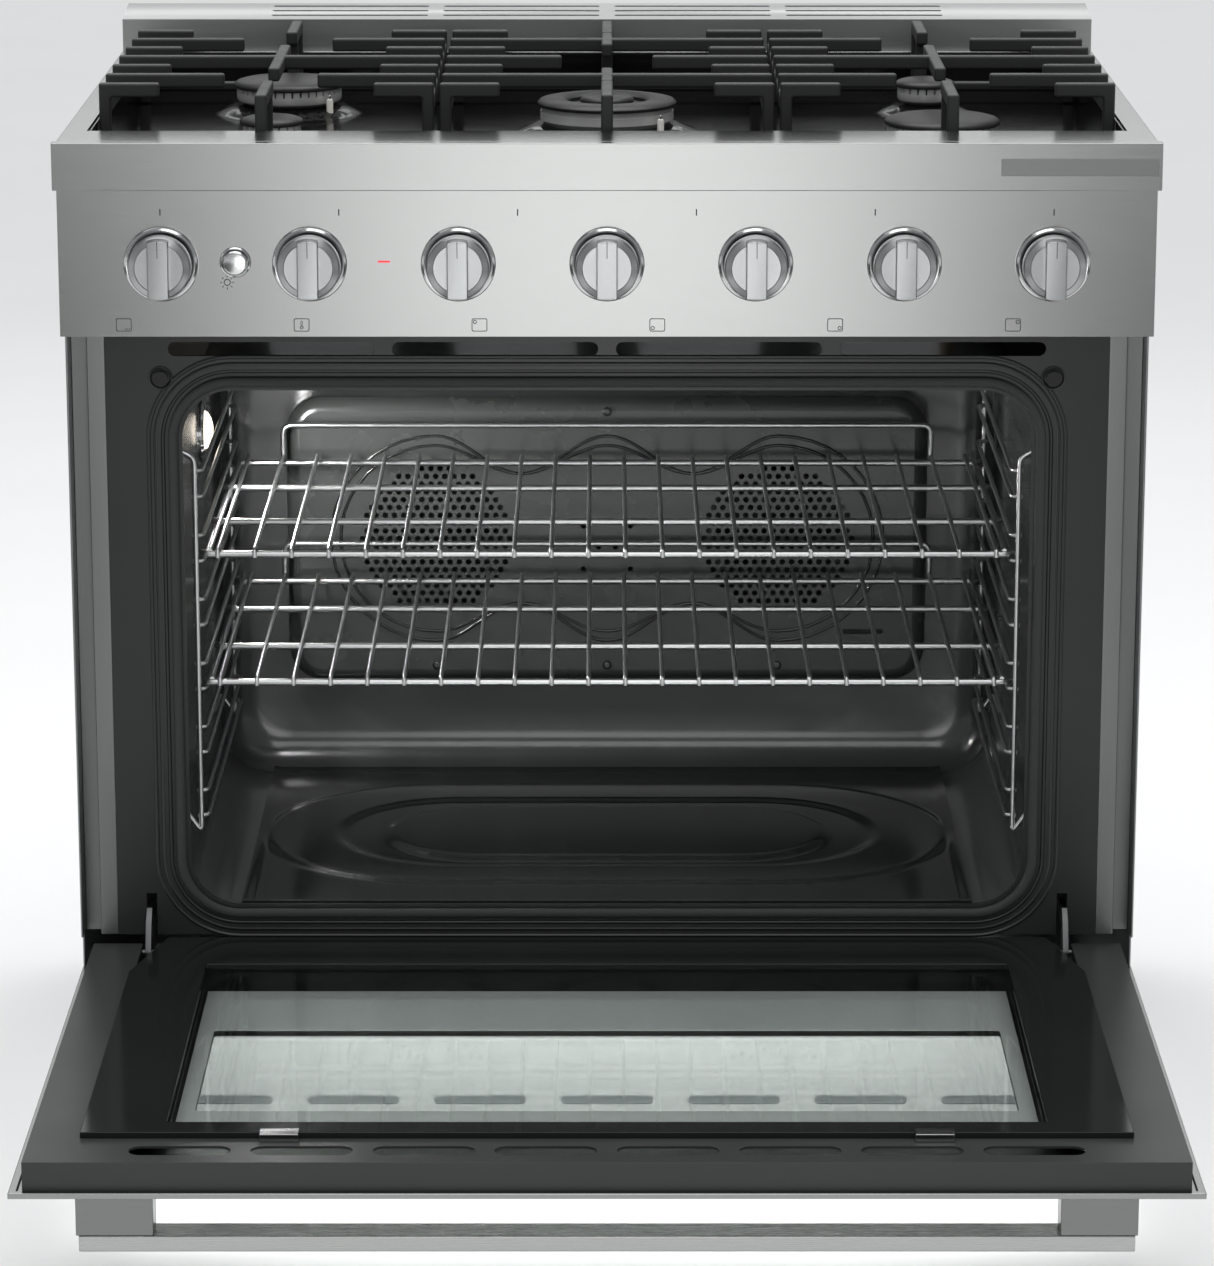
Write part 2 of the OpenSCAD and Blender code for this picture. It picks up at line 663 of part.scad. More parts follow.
// A burner's knob slips over its stem; an oven knob has its own shaft
module burner_knob(n) color("#d2d4d4") translate([knob_x(n), at(knob_back_d), knob_z]) rotate([90, 0, 0])
    knob_shape(stem_r + gap);
module oven_knob(n) color("#d2d4d4") {
    translate([knob_x(n), at(knob_back_d), knob_z]) rotate([90, 0, 0]) knob_shape(0);
    rod_y(knob_x(n), knob_back_d, valve_d + 14, knob_z, stem_r);
}
module knob_1() oven_knob(1);
module knob_2() oven_knob(2);
module knob_3() burner_knob(3);
module knob_4() burner_knob(4);
module knob_5() burner_knob(5);
module knob_6() burner_knob(6);
module knob_7() burner_knob(7);

module stem(n) color("#b08d57") rod_y(knob_x(n), knob_back_d - stem_in, valve_d + 14, knob_z, stem_r);
module stem_3() stem(3);
module stem_4() stem(4);
module stem_5() stem(5);
module stem_6() stem(6);
module stem_7() stem(7);

module light_button() color("#d8dada") {
    back = panel_d - button_push - gap;
    rod_y(button_x, back - 4.5, back, button_z, button_r);
    rod_y(button_x, back, panel_d + 12, button_z, button_r - 3);
}

rail_d = valve_d + valve_len;
module gas_manifold() color("#a09a86") {
    pipe_r = 7;
    pipe_d = back_d - 40;
    // rail, with a valve or a thermostat behind each knob
    block(knob_x(1) - 30, knob_x(knob_n) + 30, rail_d, rail_d + rail_size,
        knob_z - rail_size / 2, knob_z + rail_size / 2);
    for (n = [1 : knob_n]) difference() {
        rod_y(knob_x(n), valve_d, rail_d, knob_z, valve_r);
        rod_y(knob_x(n), valve_d - 1, valve_d + 20, knob_z, stem_r + gap);
    }
    // supply pipe to the inlet at the back
    rod_y(inlet_x, rail_d + rail_size, pipe_d, knob_z, pipe_r);
    rod_z(inlet_x, pipe_d, inlet_z, knob_z + pipe_r, pipe_r);
    rod_y(inlet_x, pipe_d, back_d - 1 - inlet_len, inlet_z, 14);
    rod_y(inlet_x, back_d - 1 - inlet_len, back_d - 1, inlet_z, inlet_r);
}

module cord_gland() color("#151515") difference() {
    union() {
        rod_y(gland_x, back_d - sheet, back_d, inlet_z, gland_r + 2);
        rod_y(gland_x, back_d - sheet - 10, back_d - sheet, inlet_z, gland_r + 5);
    }
    rod_y(gland_x, back_d - sheet - 11, back_d + 1, inlet_z, 4.5);
}

// ---- door ----
// In the door's own frame u runs from the hinge axis to the door's top edge and t from the axis
// to the oven's side. The open door lies flat, so u points forwards and t points up.
module door_block(x0, x1, u0, u1, t0, t1)
    translate([x0, at(hinge_d) - u1, hinge_z + t0]) cube([x1 - x0, u1 - u0, t1 - t0]);
module door_rod_x(x0, x1, u, t, r) rod_x(x0, x1, hinge_d - u, hinge_z + t, r);

skin_t = -door_out;
hem = 4.5;
hem_w = 6;
liner_in = 10.4;
door_liner_x = body_x - liner_in;
liner_u1 = door_up - 7;
glass_x = open_x + 46;
glass_u0 = -door_down + 4;
glass_u1 = door_up - 60;
glass_cut_x = 25;
glass_cut_u = 95;
window_x = 326;
window_u0 = 163;
window_u1 = 363;

module door_skin() color("#b9bbba") {
    difference() {
        door_block(-body_x, body_x, -door_down, door_up, skin_t, skin_t + hem);
        door_block(-body_x + hem_w, body_x - hem_w, -door_down + hem_w, door_up - hem_w,
            skin_t + sheet, skin_t + hem + 1);
        door_block(-window_x, window_x, window_u0, window_u1, skin_t - 1, skin_t + hem);
    }
}

module door_liner() color("#4a4d4c") {
    t0 = skin_t + sheet;
    x = door_liner_x;
    u0 = -door_down + hem_w;
    difference() {
        door_block(-x, x, u0, liner_u1, t0, door_in);
        door_block(-x + sheet, x - sheet, u0 + sheet, liner_u1 - sheet, t0 - 1, door_in - sheet);
        // opening under the inner glass
        door_block(-glass_x + 30, glass_x - 30, glass_u0 + 30, glass_u1 - 20, t0, door_in + 1);
        // room for the hinge arms
        for (s = [-1, 1]) translate([s * (arm_x0 + arm_t / 2), 0, 0])
            door_block(-6, 6, u0 - 1, 48, t0 + 2, door_in + 1);
        // cooling slots at the top edge
        for (i = [-3.5 : 3.5]) translate([i * 93, at(hinge_d) - liner_u1 + 26, hinge_z])
            linear_extrude(20) slot(78, 20);
    }
}

module door_inner_glass() color("#26282a") difference() {
    door_block(-glass_x, glass_x, glass_u0, glass_u1, door_in, door_in + glass_t);
    both_sides() translate([0, at(hinge_d), hinge_z]) linear_extrude(20) polygon([
        [glass_x + 1, -glass_u0 + 1], [glass_x - glass_cut_x, -glass_u0 + 1],
        [glass_x - glass_cut_x, -glass_u0], [glass_x, -glass_u0 - glass_cut_u],
        [glass_x + 1, -glass_u0 - glass_cut_u]]);
}

module door_middle_glass() color("#5a6064") {
    t0 = skin_t + sheet;
    x = window_x + 14;
    door_block(-x, x, 60, 420, door_in - 12, door_in - 12 + glass_t - 1);
    // channels that hold the pane's ends
    for (u = [50, 420]) door_block(-x, x, u, u + 10, t0, door_in - 12 + glass_t - 1);
}

module door_window() color("#2f3336") door_block(-window_x - 12, window_x + 12, window_u0 - 12, window_u1 + 12,
    skin_t + sheet, skin_t + sheet + glass_t - 1);

module hinge_channels() color("#87898a") both_sides() {
    t0 = skin_t + sheet;
    x0 = arm_x0 - 5;
    x1 = arm_x0 + arm_t + 5;
    u0 = -door_down + hem_w + sheet;
    difference() {
        door_block(x0, x1, u0, 150, t0, 2);
        door_block(x0 + sheet, x1 - sheet, u0 - 1, 151, t0 + sheet, 3);
    }
    door_rod_x(x0 + sheet, x1 - sheet, 0, 0, pin_r);
}

module glass_clips() color("#7c7f7e") both_sides() {
    x0 = 236;
    x1 = 266;
    door_block(x0, x1, glass_u1, glass_u1 + 9, door_in, door_in + glass_t + 1.5);
    door_block(x0, x1, glass_u1 - 5, glass_u1, door_in + glass_t, door_in + glass_t + 1.5);
}

handle_u0 = door_up - 95;
handle_x = body_x - 45.4;
module handle_bar() color("#cfd1d0") door_block(-handle_x, handle_x, handle_u0, handle_u0 + handle_h,
    skin_t - handle_out, skin_t - handle_out + handle_t);

module handle_posts() color("#bfc1c0") both_sides()
    door_block(handle_x + 2 - post_w, handle_x + 2, handle_u0, handle_u0 + handle_h,
        skin_t - handle_out + handle_t, skin_t);

side_panels();
rear_cover();
base_frame();
levelling_feet();
kick_panel();
front_frame();
front_posts();
oven_liner();
oven_floor_panel();
oven_burners();
fan_baffle();
fan_motors();
rack_guides();
oven_lamp();
temperature_probe();
door_gasket();
frame_bumpers();
hinge_arms();
hob_top();
front_trim();
badge_plate();
backguard();
burner_tray();
burner_heads();
burner_caps();
igniters();
control_panel();
knob_bezels();
indicator_lamp();
gas_manifold();
cord_gland();
door_skin();
door_liner();
door_inner_glass();
door_middle_glass();
door_window();
hinge_channels();
glass_clips();
handle_bar();
handle_posts();
rack_upper();
rack_lower();
grate_left();
grate_centre();
grate_right();
fan_left();
fan_right();
knob_1();
knob_2();
knob_3();
knob_4();
knob_5();
knob_6();
knob_7();
stem_3();
stem_4();
stem_5();
stem_6();
stem_7();
light_button();
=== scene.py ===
# %% [markdown]
# A freestanding gas range: a steel body with an enamelled oven, a recessed hob with three cast-iron
# grates, and a door that drops open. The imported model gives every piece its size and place. This
# notebook gives the pieces their edges, pressings, wires and finishes, and lights them like a
# product on a pale sweep. Everything is in metres, +Z up, with the front facing -Y.

# %% Load the frame
import math
from contextlib import contextmanager

import bmesh
import bpy
import numpy as np
from mathutils import Matrix, Vector
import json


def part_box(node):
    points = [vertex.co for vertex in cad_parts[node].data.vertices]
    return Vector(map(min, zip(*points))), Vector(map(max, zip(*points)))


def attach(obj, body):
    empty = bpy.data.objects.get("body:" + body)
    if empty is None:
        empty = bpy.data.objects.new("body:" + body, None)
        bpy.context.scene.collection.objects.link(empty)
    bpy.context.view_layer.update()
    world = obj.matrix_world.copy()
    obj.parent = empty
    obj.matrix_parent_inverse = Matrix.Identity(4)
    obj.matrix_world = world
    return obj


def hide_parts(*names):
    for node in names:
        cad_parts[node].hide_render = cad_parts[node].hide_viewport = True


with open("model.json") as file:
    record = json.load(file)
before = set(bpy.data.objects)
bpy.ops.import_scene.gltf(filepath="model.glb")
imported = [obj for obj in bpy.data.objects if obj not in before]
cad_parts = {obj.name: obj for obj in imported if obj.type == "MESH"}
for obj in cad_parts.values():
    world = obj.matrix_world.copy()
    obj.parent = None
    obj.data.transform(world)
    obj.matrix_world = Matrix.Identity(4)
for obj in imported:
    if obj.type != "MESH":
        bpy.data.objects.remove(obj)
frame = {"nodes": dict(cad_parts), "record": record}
NODES = frame["nodes"]
BODY_OF = {n: b for b, names in frame["record"]["behaviour"]["bodies"].items() for n in names}
SLOT_OF = {p["node"]: p["material_slot"] for p in frame["record"]["subparts"]}
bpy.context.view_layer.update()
MM = 0.001

# %% [markdown]
# The range is seen from a little above, straight in front, from about four metres away through a long lens. A
# long lens keeps the width of the door and of the hob close to each other. The camera is made first, and tilted
# down at the middle of the range instead of shifted.

# %% Camera
TRIM_LO, TRIM_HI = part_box("front_trim")
EYE = Vector((0.0, TRIM_LO.y - 4.014, 1.507))
AIM = Vector((0.0, -0.075, 0.500))
camera_data = bpy.data.cameras.new("camera")
camera = bpy.data.objects.new("camera", camera_data)
bpy.context.scene.collection.objects.link(camera)
camera.location = EYE
camera.rotation_euler = (AIM - EYE).to_track_quat("-Z", "Y").to_euler()
camera_data.sensor_width = 36.0
camera_data.lens = 140.0
bpy.context.scene.camera = camera
print("camera distance", round((AIM - EYE).length, 3))

# %% [markdown]
# Shader maths reads best as plain expressions. This class wraps one output of a node and gives it
# the usual operators, so `1 - mask * 0.5` adds the Math nodes by itself. A `Finish` holds one
# material: its tree, its main shader, and one method that adds any other node.

# %% Sockets as numbers
class Sock:
    def __init__(self, finish, socket):
        self.finish = finish
        self.socket = socket

    def _math(self, operation, *values):
        return self.finish.add("Math", {"operation": operation}, *values)

    def __add__(self, other):
        return self._math("ADD", self, other)

    def __rsub__(self, other):
        return self._math("SUBTRACT", other, self)

    def __mul__(self, other):
        return self._math("MULTIPLY", self, other)


FINISHES = {}


class Finish:
    """One material: add() makes a node, sets it up, feeds it and returns one of its outputs."""

    def __init__(self, name, color, **sockets):
        self.material = bpy.data.materials.new(name)
        self.material.use_nodes = True
        self.tree = self.material.node_tree
        self.tree.nodes.clear()
        self.output = self.tree.nodes.new("ShaderNodeOutputMaterial")
        self.shader = self.tree.nodes.new("ShaderNodeBsdfPrincipled")
        self.tree.links.new(self.shader.outputs[0], self.output.inputs["Surface"])
        self.shader.inputs["Base Color"].default_value = (*color, 1.0)
        self.material.diffuse_color = (*color, 1.0)
        for key, value in sockets.items():
            self.shader.inputs[key.replace("_", " ")].default_value = value
        FINISHES[name] = self.material

    def feed(self, socket, value):
        if isinstance(value, Sock):
            self.tree.links.new(value.socket, socket)
        elif isinstance(value, tuple) and len(value) == 3 and len(socket.default_value) == 4:
            socket.default_value = (*value, 1.0)
        else:
            socket.default_value = value

    def add(self, kind, settings=None, *values, out=0, **named):
        node = self.tree.nodes.new("ShaderNode" + kind)
        for key, value in (settings or {}).items():
            setattr(node, key, value)
        for socket, value in zip(node.inputs, values):
            self.feed(socket, value)
        for key, value in named.items():
            self.feed(node.inputs[key.replace("_", " ")], value)
        return Sock(self, node.outputs[out])

    def place(self, scale=(1.0, 1.0, 1.0)):
        """Position in metres, stretched by a scale for each axis."""
        spot = self.add("TexCoord", out=3)
        return self.add("Mapping", None, Vector=spot, Scale=scale)

    def noise(self, scale, at=None, detail=4.0, roughness=0.55):
        at = at or self.place()
        return self.add("TexNoise", None, Vector=at, Scale=scale, Detail=detail, Roughness=roughness)

    def blend(self, factor, a, b):
        """Colour a where the factor is 0 and b where it is 1."""
        mixed = self.add("Mix", {"data_type": "RGBA"}, factor, out=2)
        node = mixed.socket.node
        self.feed(node.inputs[6], a)
        self.feed(node.inputs[7], b)
        return mixed

    def vary(self, factor, tone, low, high):
        """A tone that runs from low times itself to high times itself."""
        return self.blend(factor, *(tuple(min(1.0, v * k) for v in tone) for k in (low, high)))

    def bump(self, height, distance, strength):
        normal = self.add("Bump", None, Strength=strength, Distance=distance, Height=height)
        self.into("Normal", normal)

    def into(self, name, value):
        self.feed(self.shader.inputs[name], value)


print("helpers ready")

# %% [markdown]
# Brushed steel carries fine scratches that all run one way. A noise that is stretched hard along the
# brushing makes them: it changes the tone a little, the roughness more, and the surface height by a
# few hundredths of a millimetre. The scratches run across the front and top, and back to front on
# the sides.

# %% Brushed steel
def brushed(name, along, tone=(0.30, 0.305, 0.30), rough=0.21):
    finish = Finish(name, tone, Metallic=1.0, Anisotropic=0.55)
    across, down = 1300.0, 16.0
    scale = tuple(down if axis == along else across for axis in "xyz")
    long_scratches = finish.noise(1.0, finish.place(scale), detail=5.0, roughness=0.7)
    fine_scale = tuple(v * 3.5 for v in scale)
    hairlines = finish.noise(1.0, finish.place(fine_scale), detail=2.0)
    cloud = finish.noise(2.2, detail=2.0)
    shade = long_scratches * 0.6 + hairlines * 0.3 + cloud * 0.1
    finish.into("Base Color", finish.vary(shade, tone, 0.86, 1.12))
    finish.into("Roughness", shade * 0.14 + (rough - 0.07))
    finish.bump(long_scratches * 0.5 + hairlines * 0.5, 0.00003, 0.4)


# The front, sides, kick panel, posts, backguard and post blocks are one brushed stainless steel; their tones
# differ only to paint in light and shade: the kick panel and backguard are painted brighter, the sides, front
# posts and post blocks (handle posts and badge) are painted darker.
brushed("steel_across", "x")
brushed("steel_sides", "y", (0.24, 0.25, 0.25), 0.36)
brushed("steel_kick", "x", (0.55, 0.56, 0.55), 0.42)
brushed("steel_posts", "z", (0.20, 0.21, 0.205), 0.34)
brushed("steel_guard", "x", (0.50, 0.505, 0.50), 0.44)
brushed("steel_handle", "x", (0.42, 0.43, 0.42), 0.27)
brushed("steel_post_block", "x", (0.22, 0.225, 0.22), 0.36)
print("brushed steels", len(FINISHES))

# %% [markdown]
# A knob's face is turned on a lathe, so its brushing runs in circles about its own axis. The
# distance from the axis drives a fine noise, and each knob has its own finish because its axis is
# somewhere else. The light button has the same turned face with a sharper sheen.

# %% Turned metal
def turned(name, center, tone=(0.66, 0.67, 0.67), rough=0.24):
    finish = Finish(name, tone, Metallic=1.0)
    spot = finish.add("TexCoord", out=3)
    from_axis = finish.add("VectorMath", {"operation": "SUBTRACT"}, spot, tuple(center))
    flat = finish.add("VectorMath", {"operation": "MULTIPLY"}, from_axis, (1.0, 0.0, 1.0))
    radius = finish.add("VectorMath", {"operation": "LENGTH"}, flat, out=1)
    rings = finish.add("TexNoise", {"noise_dimensions": "1D"}, W=radius, Scale=5200.0, Detail=2.0)
    cloud = finish.noise(60.0, detail=3.0)
    shade = rings * 0.7 + cloud * 0.3
    finish.into("Base Color", finish.vary(shade, tone, 0.86, 1.1))
    finish.into("Roughness", shade * 0.16 + (rough - 0.08))
    finish.bump(rings, 0.00002, 0.5)


# %% [markdown]
# Vitreous enamel is glass melted onto steel: deep, glossy and never quite flat. A broad low noise
# bends its reflections like orange peel, and a few pale specks sit under the gloss. The coat of the
# shader gives the clear top. Cooking leaves the oven's enamel a little less even than the door's.

# %% Enamels
def enamel(name, tone, rough=0.2, peel=0.00012, speck=0.02, coat=0.5, specular=0.5):
    finish = Finish(name, tone, Coat_Weight=coat, Coat_Roughness=0.12, Specular_IOR_Level=specular)
    cloud = finish.noise(9.0, detail=5.0)
    grain = finish.noise(900.0, detail=1.0)
    specks = finish.add("MapRange", None, grain, 0.66, 0.74, 0.0, speck)
    tinted = finish.vary(cloud, tone, 0.82, 1.15)
    finish.into("Base Color", finish.blend(specks, tinted, (0.35, 0.36, 0.36)))
    finish.into("Roughness", cloud * 0.14 + (rough - 0.07))
    waves = finish.noise(140.0, detail=2.0)
    finish.bump(waves, peel, 0.35)


enamel("frame_enamel", (0.014, 0.0155, 0.0145), 0.30, speck=0.0, coat=0.0, specular=0.42)
enamel("oven_enamel", (0.060, 0.063, 0.061), 0.22, 0.0002, speck=0.0)
enamel("baffle_enamel", (0.040, 0.043, 0.041), 0.27, speck=0.0, coat=0.3)
enamel("floor_enamel", (0.016, 0.017, 0.017), 0.14, 0.0001)
# The beads are pressed in the same sheet as the baffle; their darker tone is painted shade along the ridges.
enamel("bead_enamel", (0.012, 0.013, 0.013), 0.25)
enamel("door_enamel", (0.034, 0.036, 0.035), 0.34, speck=0.0, coat=0.0, specular=0.3)
enamel("tray_enamel", (0.006, 0.006, 0.006), 0.13, 0.0001, 0.0, 0.0, 0.22)
enamel("cap_enamel", (0.014, 0.014, 0.014), 0.45, 0.0002, 0.0, 0.0, 0.35)
print("enamels ready")

# %% [markdown]
# The grates are cast iron under a matt black coat. Sand casting leaves a pebbled skin, which two
# noises give, and the coat rubs thin and shines a little where pans slide: on the top of the bars.

# %% Cast iron
def cast_iron(name, tone=(0.016, 0.0165, 0.0165)):
    finish = Finish(name, tone, Specular_IOR_Level=0.45)
    pebbles = finish.noise(1400.0, detail=3.0, roughness=0.65)
    lumps = finish.noise(120.0, detail=2.0)
    normal = finish.add("NewGeometry", out=1)
    up = finish.add("SeparateXYZ", None, normal, out=2)
    rubbed = finish.add("MapRange", None, up, 0.6, 1.0, 0.0, 1.0) * finish.noise(35.0, detail=4.0)
    finish.into("Base Color", finish.blend(rubbed, tone, (0.045, 0.046, 0.046)))
    finish.into("Roughness", 0.62 - rubbed * 0.22 + pebbles * 0.08)
    finish.bump(pebbles * 0.4 + lumps * 0.6, 0.0004, 0.5)


cast_iron("cast_iron")

# %% [markdown]
# Plated wire is nearly a mirror, with faint drawing lines and a slight haze. Zinc-coated sheet,
# burner alloy and brass are duller metals: a cloudy noise moves their roughness and tone.

# %% Plain metals
def metal(name, tone, rough, haze=0.12, grain=220.0, depth=0.00003, metallic=1.0):
    finish = Finish(name, tone, Metallic=metallic)
    cloud = finish.noise(grain * 0.2, detail=4.0)
    fine = finish.noise(grain * 6.0, detail=2.0)
    shade = cloud * 0.6 + fine * 0.4
    finish.into("Base Color", finish.vary(shade, tone, 0.84, 1.1))
    finish.into("Roughness", shade * haze + (rough - haze / 2))
    finish.bump(fine, depth, 0.4)


metal("wire_chrome", (0.72, 0.73, 0.73), 0.16, 0.08)
metal("ring_chrome", (0.62, 0.63, 0.63), 0.13, 0.06)
metal("zinc_sheet", (0.46, 0.48, 0.49), 0.44, 0.2, 120.0)
metal("burner_alloy", (0.80, 0.80, 0.79), 0.40, 0.16, 200.0, 0.00006, 0.45)
metal("brass", (0.60, 0.44, 0.22), 0.30)
metal("hinge_steel", (0.10, 0.104, 0.104), 0.36)
metal("fan_sheet", (0.035, 0.036, 0.036), 0.45)
print("metals ready")

# %% [markdown]
# The small soft and moulded pieces: black rubber bumpers, the woven black door seal, moulded feet,
# and the white ceramic of the spark electrodes. Fine noise keeps each from looking like paint.

# %% Rubber, plastic and ceramic
def dull(name, tone, rough, grain=800.0, depth=0.00008, specular=0.4):
    finish = Finish(name, tone, Specular_IOR_Level=specular)
    fine = finish.noise(grain, detail=3.0)
    cloud = finish.noise(grain * 0.03, detail=3.0)
    shade = fine * 0.5 + cloud * 0.5
    finish.into("Base Color", finish.vary(shade, tone, 0.75, 1.2))
    finish.into("Roughness", shade * 0.2 + (rough - 0.1))
    finish.bump(fine, depth, 0.5)


dull("bumper_rubber", (0.012, 0.012, 0.012), 0.6)
dull("foot_plastic", (0.022, 0.022, 0.022), 0.5)
dull("electrode_ceramic", (0.78, 0.76, 0.70), 0.35, 500.0, 0.00003)
# door_sheet is painted light: a pale matt grey standing in for the lit steel skin inside the door.
dull("door_sheet", (0.42, 0.43, 0.425), 0.55, 300.0, 0.00003)
dull("printed_ink", (0.035, 0.037, 0.037), 0.6)


def woven(name, tone=(0.03, 0.031, 0.031)):
    finish = Finish(name, tone, Specular_IOR_Level=0.3)
    strands = finish.add("TexWave", {"bands_direction": "DIAGONAL"}, Vector=finish.place(), Scale=260.0,
                         Distortion=1.5, Detail=2.0, out=1)
    finish.into("Base Color", finish.vary(strands, tone, 0.6, 1.6))
    finish.into("Roughness", strands * 0.15 + 0.6)
    finish.bump(strands, 0.0003, 0.6)


woven("seal_braid")
print("dull finishes ready")

# %% [markdown]
# The door glass has a black fired border and a clear middle. The border is opaque and very glossy.
# The clear panes let light straight through and reflect more at a low angle, so a Fresnel factor
# mixes a tinted transparent shader with a glossy one: it stays clean with few render samples.

# %% Glass and glow
def clear_glass(name, tint, lines=False):
    finish = Finish(name, tint)
    tree = finish.tree
    tree.nodes.remove(finish.shader)
    gloss = finish.add("BsdfAnisotropic", None, Color=(0.9, 0.92, 0.91), Roughness=0.02)
    clear = finish.add("BsdfTransparent", None, tint)
    facing = finish.add("Fresnel", None, 1.5)
    factor = facing * 0.13 + 0.01
    if lines:
        streaks = finish.noise(1.0, finish.place((3.0, 500.0, 3.0)), detail=2.0)
        factor = factor + streaks * 0.10
    mixed = finish.add("MixShader", None, factor, clear, gloss)
    tree.links.new(mixed.socket, finish.output.inputs["Surface"])


clear_glass("clear_glass", (0.97, 0.98, 0.975))
clear_glass("screen_glass", (0.94, 0.95, 0.95), lines=True)
enamel("glass_border", (0.012, 0.0125, 0.0125), 0.10, 0.00001, 0.0, 0.0, 0.14)


def glowing(name, tone, strength):
    finish = Finish(name, tone, Roughness=0.3)
    cloud = finish.noise(90.0, detail=2.0)
    finish.into("Emission Color", finish.vary(cloud, tone, 0.85, 1.0))
    finish.shader.inputs["Emission Strength"].default_value = strength


glowing("lamp_glow", (1.0, 0.90, 0.76), 2.4)
glowing("red_glow", (0.86, 0.012, 0.03), 1.0)

FINISH_OF_SLOT = {
    "brushed_steel": "steel_across", "galvanised": "zinc_sheet", "enamel": "oven_enamel",
    "black_enamel": "tray_enamel", "cap_enamel": "cap_enamel", "cast_iron": "cast_iron",
    "chrome": "wire_chrome", "knob_metal": "steel_handle", "burner_alloy": "burner_alloy",
    "rubber": "bumper_rubber", "foot_plastic": "foot_plastic", "glass": "glass_border",
    "lamp_glass": "lamp_glow", "red_lens": "red_glow", "igniter_ceramic": "electrode_ceramic", "brass": "brass",
}
FINISH_OF_NODE = {
    "side_panels": "steel_sides", "rear_cover": "zinc_sheet", "backguard": "steel_guard",
    "kick_panel": "steel_kick", "front_posts": "steel_posts", "front_frame": "frame_enamel",
    "door_liner": "door_enamel", "fan_left": "fan_sheet", "fan_right": "fan_sheet",
    "hinge_arms": "hinge_steel", "hinge_channels": "hinge_steel", "badge_plate": "steel_post_block",
    "knob_bezels": "ring_chrome", "handle_bar": "steel_handle", "handle_posts": "steel_post_block",
    "door_middle_glass": "clear_glass", "door_window": "screen_glass",
}


def chosen_finish(node):
    return FINISH_OF_NODE.get(node, FINISH_OF_SLOT[SLOT_OF[node]])


for name, node in NODES.items():
    node.data.materials.clear()
    node.data.materials.append(FINISHES[chosen_finish(name)])
print("finishes", len(FINISHES), "nodes", len(NODES))

# %% [markdown]
# Sheet metal never has a knife edge: a fold has a small radius, and that radius catches a thin line
# of light. `rounded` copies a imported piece, joins its facets back into flat faces, and rounds every
# sharp edge with a bevel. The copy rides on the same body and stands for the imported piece, so the
# size stays what the design says.

# %% Rounded copies
def finish_piece(obj, node, finish, replace=True):
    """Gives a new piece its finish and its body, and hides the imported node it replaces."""
    obj.data.materials.clear()
    obj.data.materials.append(FINISHES[finish])
    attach(obj, BODY_OF[node])
    if replace:
        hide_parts(node)


def add_object(name, mesh):
    obj = bpy.data.objects.new(name, mesh)
    bpy.context.scene.collection.objects.link(obj)
    return obj


def from_bmesh(name, bm, smooth=35.0):
    mesh = bpy.data.meshes.new(name)
    bmesh.ops.recalc_face_normals(bm, faces=bm.faces)
    bm.to_mesh(mesh)
    bm.free()
    obj = add_object(name, mesh)
    shade(obj, smooth)
    return obj


def shade(obj, angle=35.0):
    mesh = obj.data
    mesh.polygons.foreach_set("use_smooth", [True] * len(mesh.polygons))
    mesh.set_sharp_from_angle(angle=math.radians(angle))
    mesh.update()


@contextmanager
def reshaping(obj):
    """The mesh of a piece, open for changes."""
    bm = bmesh.new()
    bm.from_mesh(obj.data)
    yield bm
    bm.to_mesh(obj.data)
    bm.free()


def even_shading(obj):
    """Keeps the shading of large flat faces flat, so only the rounded edges turn."""
    weighted = obj.modifiers.new("even", "WEIGHTED_NORMAL")
    weighted.keep_sharp = True
    weighted.weight = 100
    apply_modifiers(obj)


def apply_modifiers(obj):
    graph = bpy.context.evaluated_depsgraph_get()
    mesh = bpy.data.meshes.new_from_object(obj.evaluated_get(graph))
    obj.modifiers.clear()
    obj.data = mesh


FLAT, SHARP = math.radians(0.5), math.radians(30.0)


def rounded(node, width, segments=2):
    bm = bmesh.new()
    bm.from_mesh(NODES[node].data)
    bmesh.ops.remove_doubles(bm, verts=bm.verts, dist=0.00002)
    bmesh.ops.dissolve_limit(bm, angle_limit=FLAT, verts=bm.verts, edges=bm.edges)
    edges = [e for e in bm.edges if len(e.link_faces) == 2 and e.calc_face_angle(0) > SHARP]
    bmesh.ops.bevel(bm, geom=edges, offset=width, offset_type="OFFSET", segments=segments, profile=0.6,
                    affect="EDGES", clamp_overlap=True, miter_outer="ARC")
    obj = from_bmesh(node + "_shell", bm)
    even_shading(obj)
    finish_piece(obj, node, chosen_finish(node))


ROUNDED = {
    "side_panels": 0.0008, "rear_cover": 0.0004, "kick_panel": 0.0007, "front_frame": 0.0006,
    "front_posts": 0.0007, "hob_top": 0.0008, "front_trim": 0.0008, "backguard": 0.0006,
    "control_panel": 0.0007, "burner_tray": 0.0008, "door_skin": 0.0007, "door_liner": 0.0008,
    "handle_bar": 0.0012, "handle_posts": 0.0012, "hinge_arms": 0.0008, "badge_plate": 0.0004,
    "levelling_feet": 0.0012, "base_frame": 0.0005, "glass_clips": 0.0005, "hinge_channels": 0.0004,
}
for node, width in ROUNDED.items():
    rounded(node, width)
GRATES = ("grate_left", "grate_centre", "grate_right")
for node in GRATES:
    rounded(node, 0.0024, 3)
print("rounded", len(ROUNDED) + len(GRATES))

# %% [markdown]
# Wires, turned rings and punched sheet come back again and again on a range. Three helpers make them:
# a tube swept along a route whose corners are rounded, a profile turned about an axis, and a flat
# plate cut from outlines, which Blender's 2-D curves fill with their holes left open.

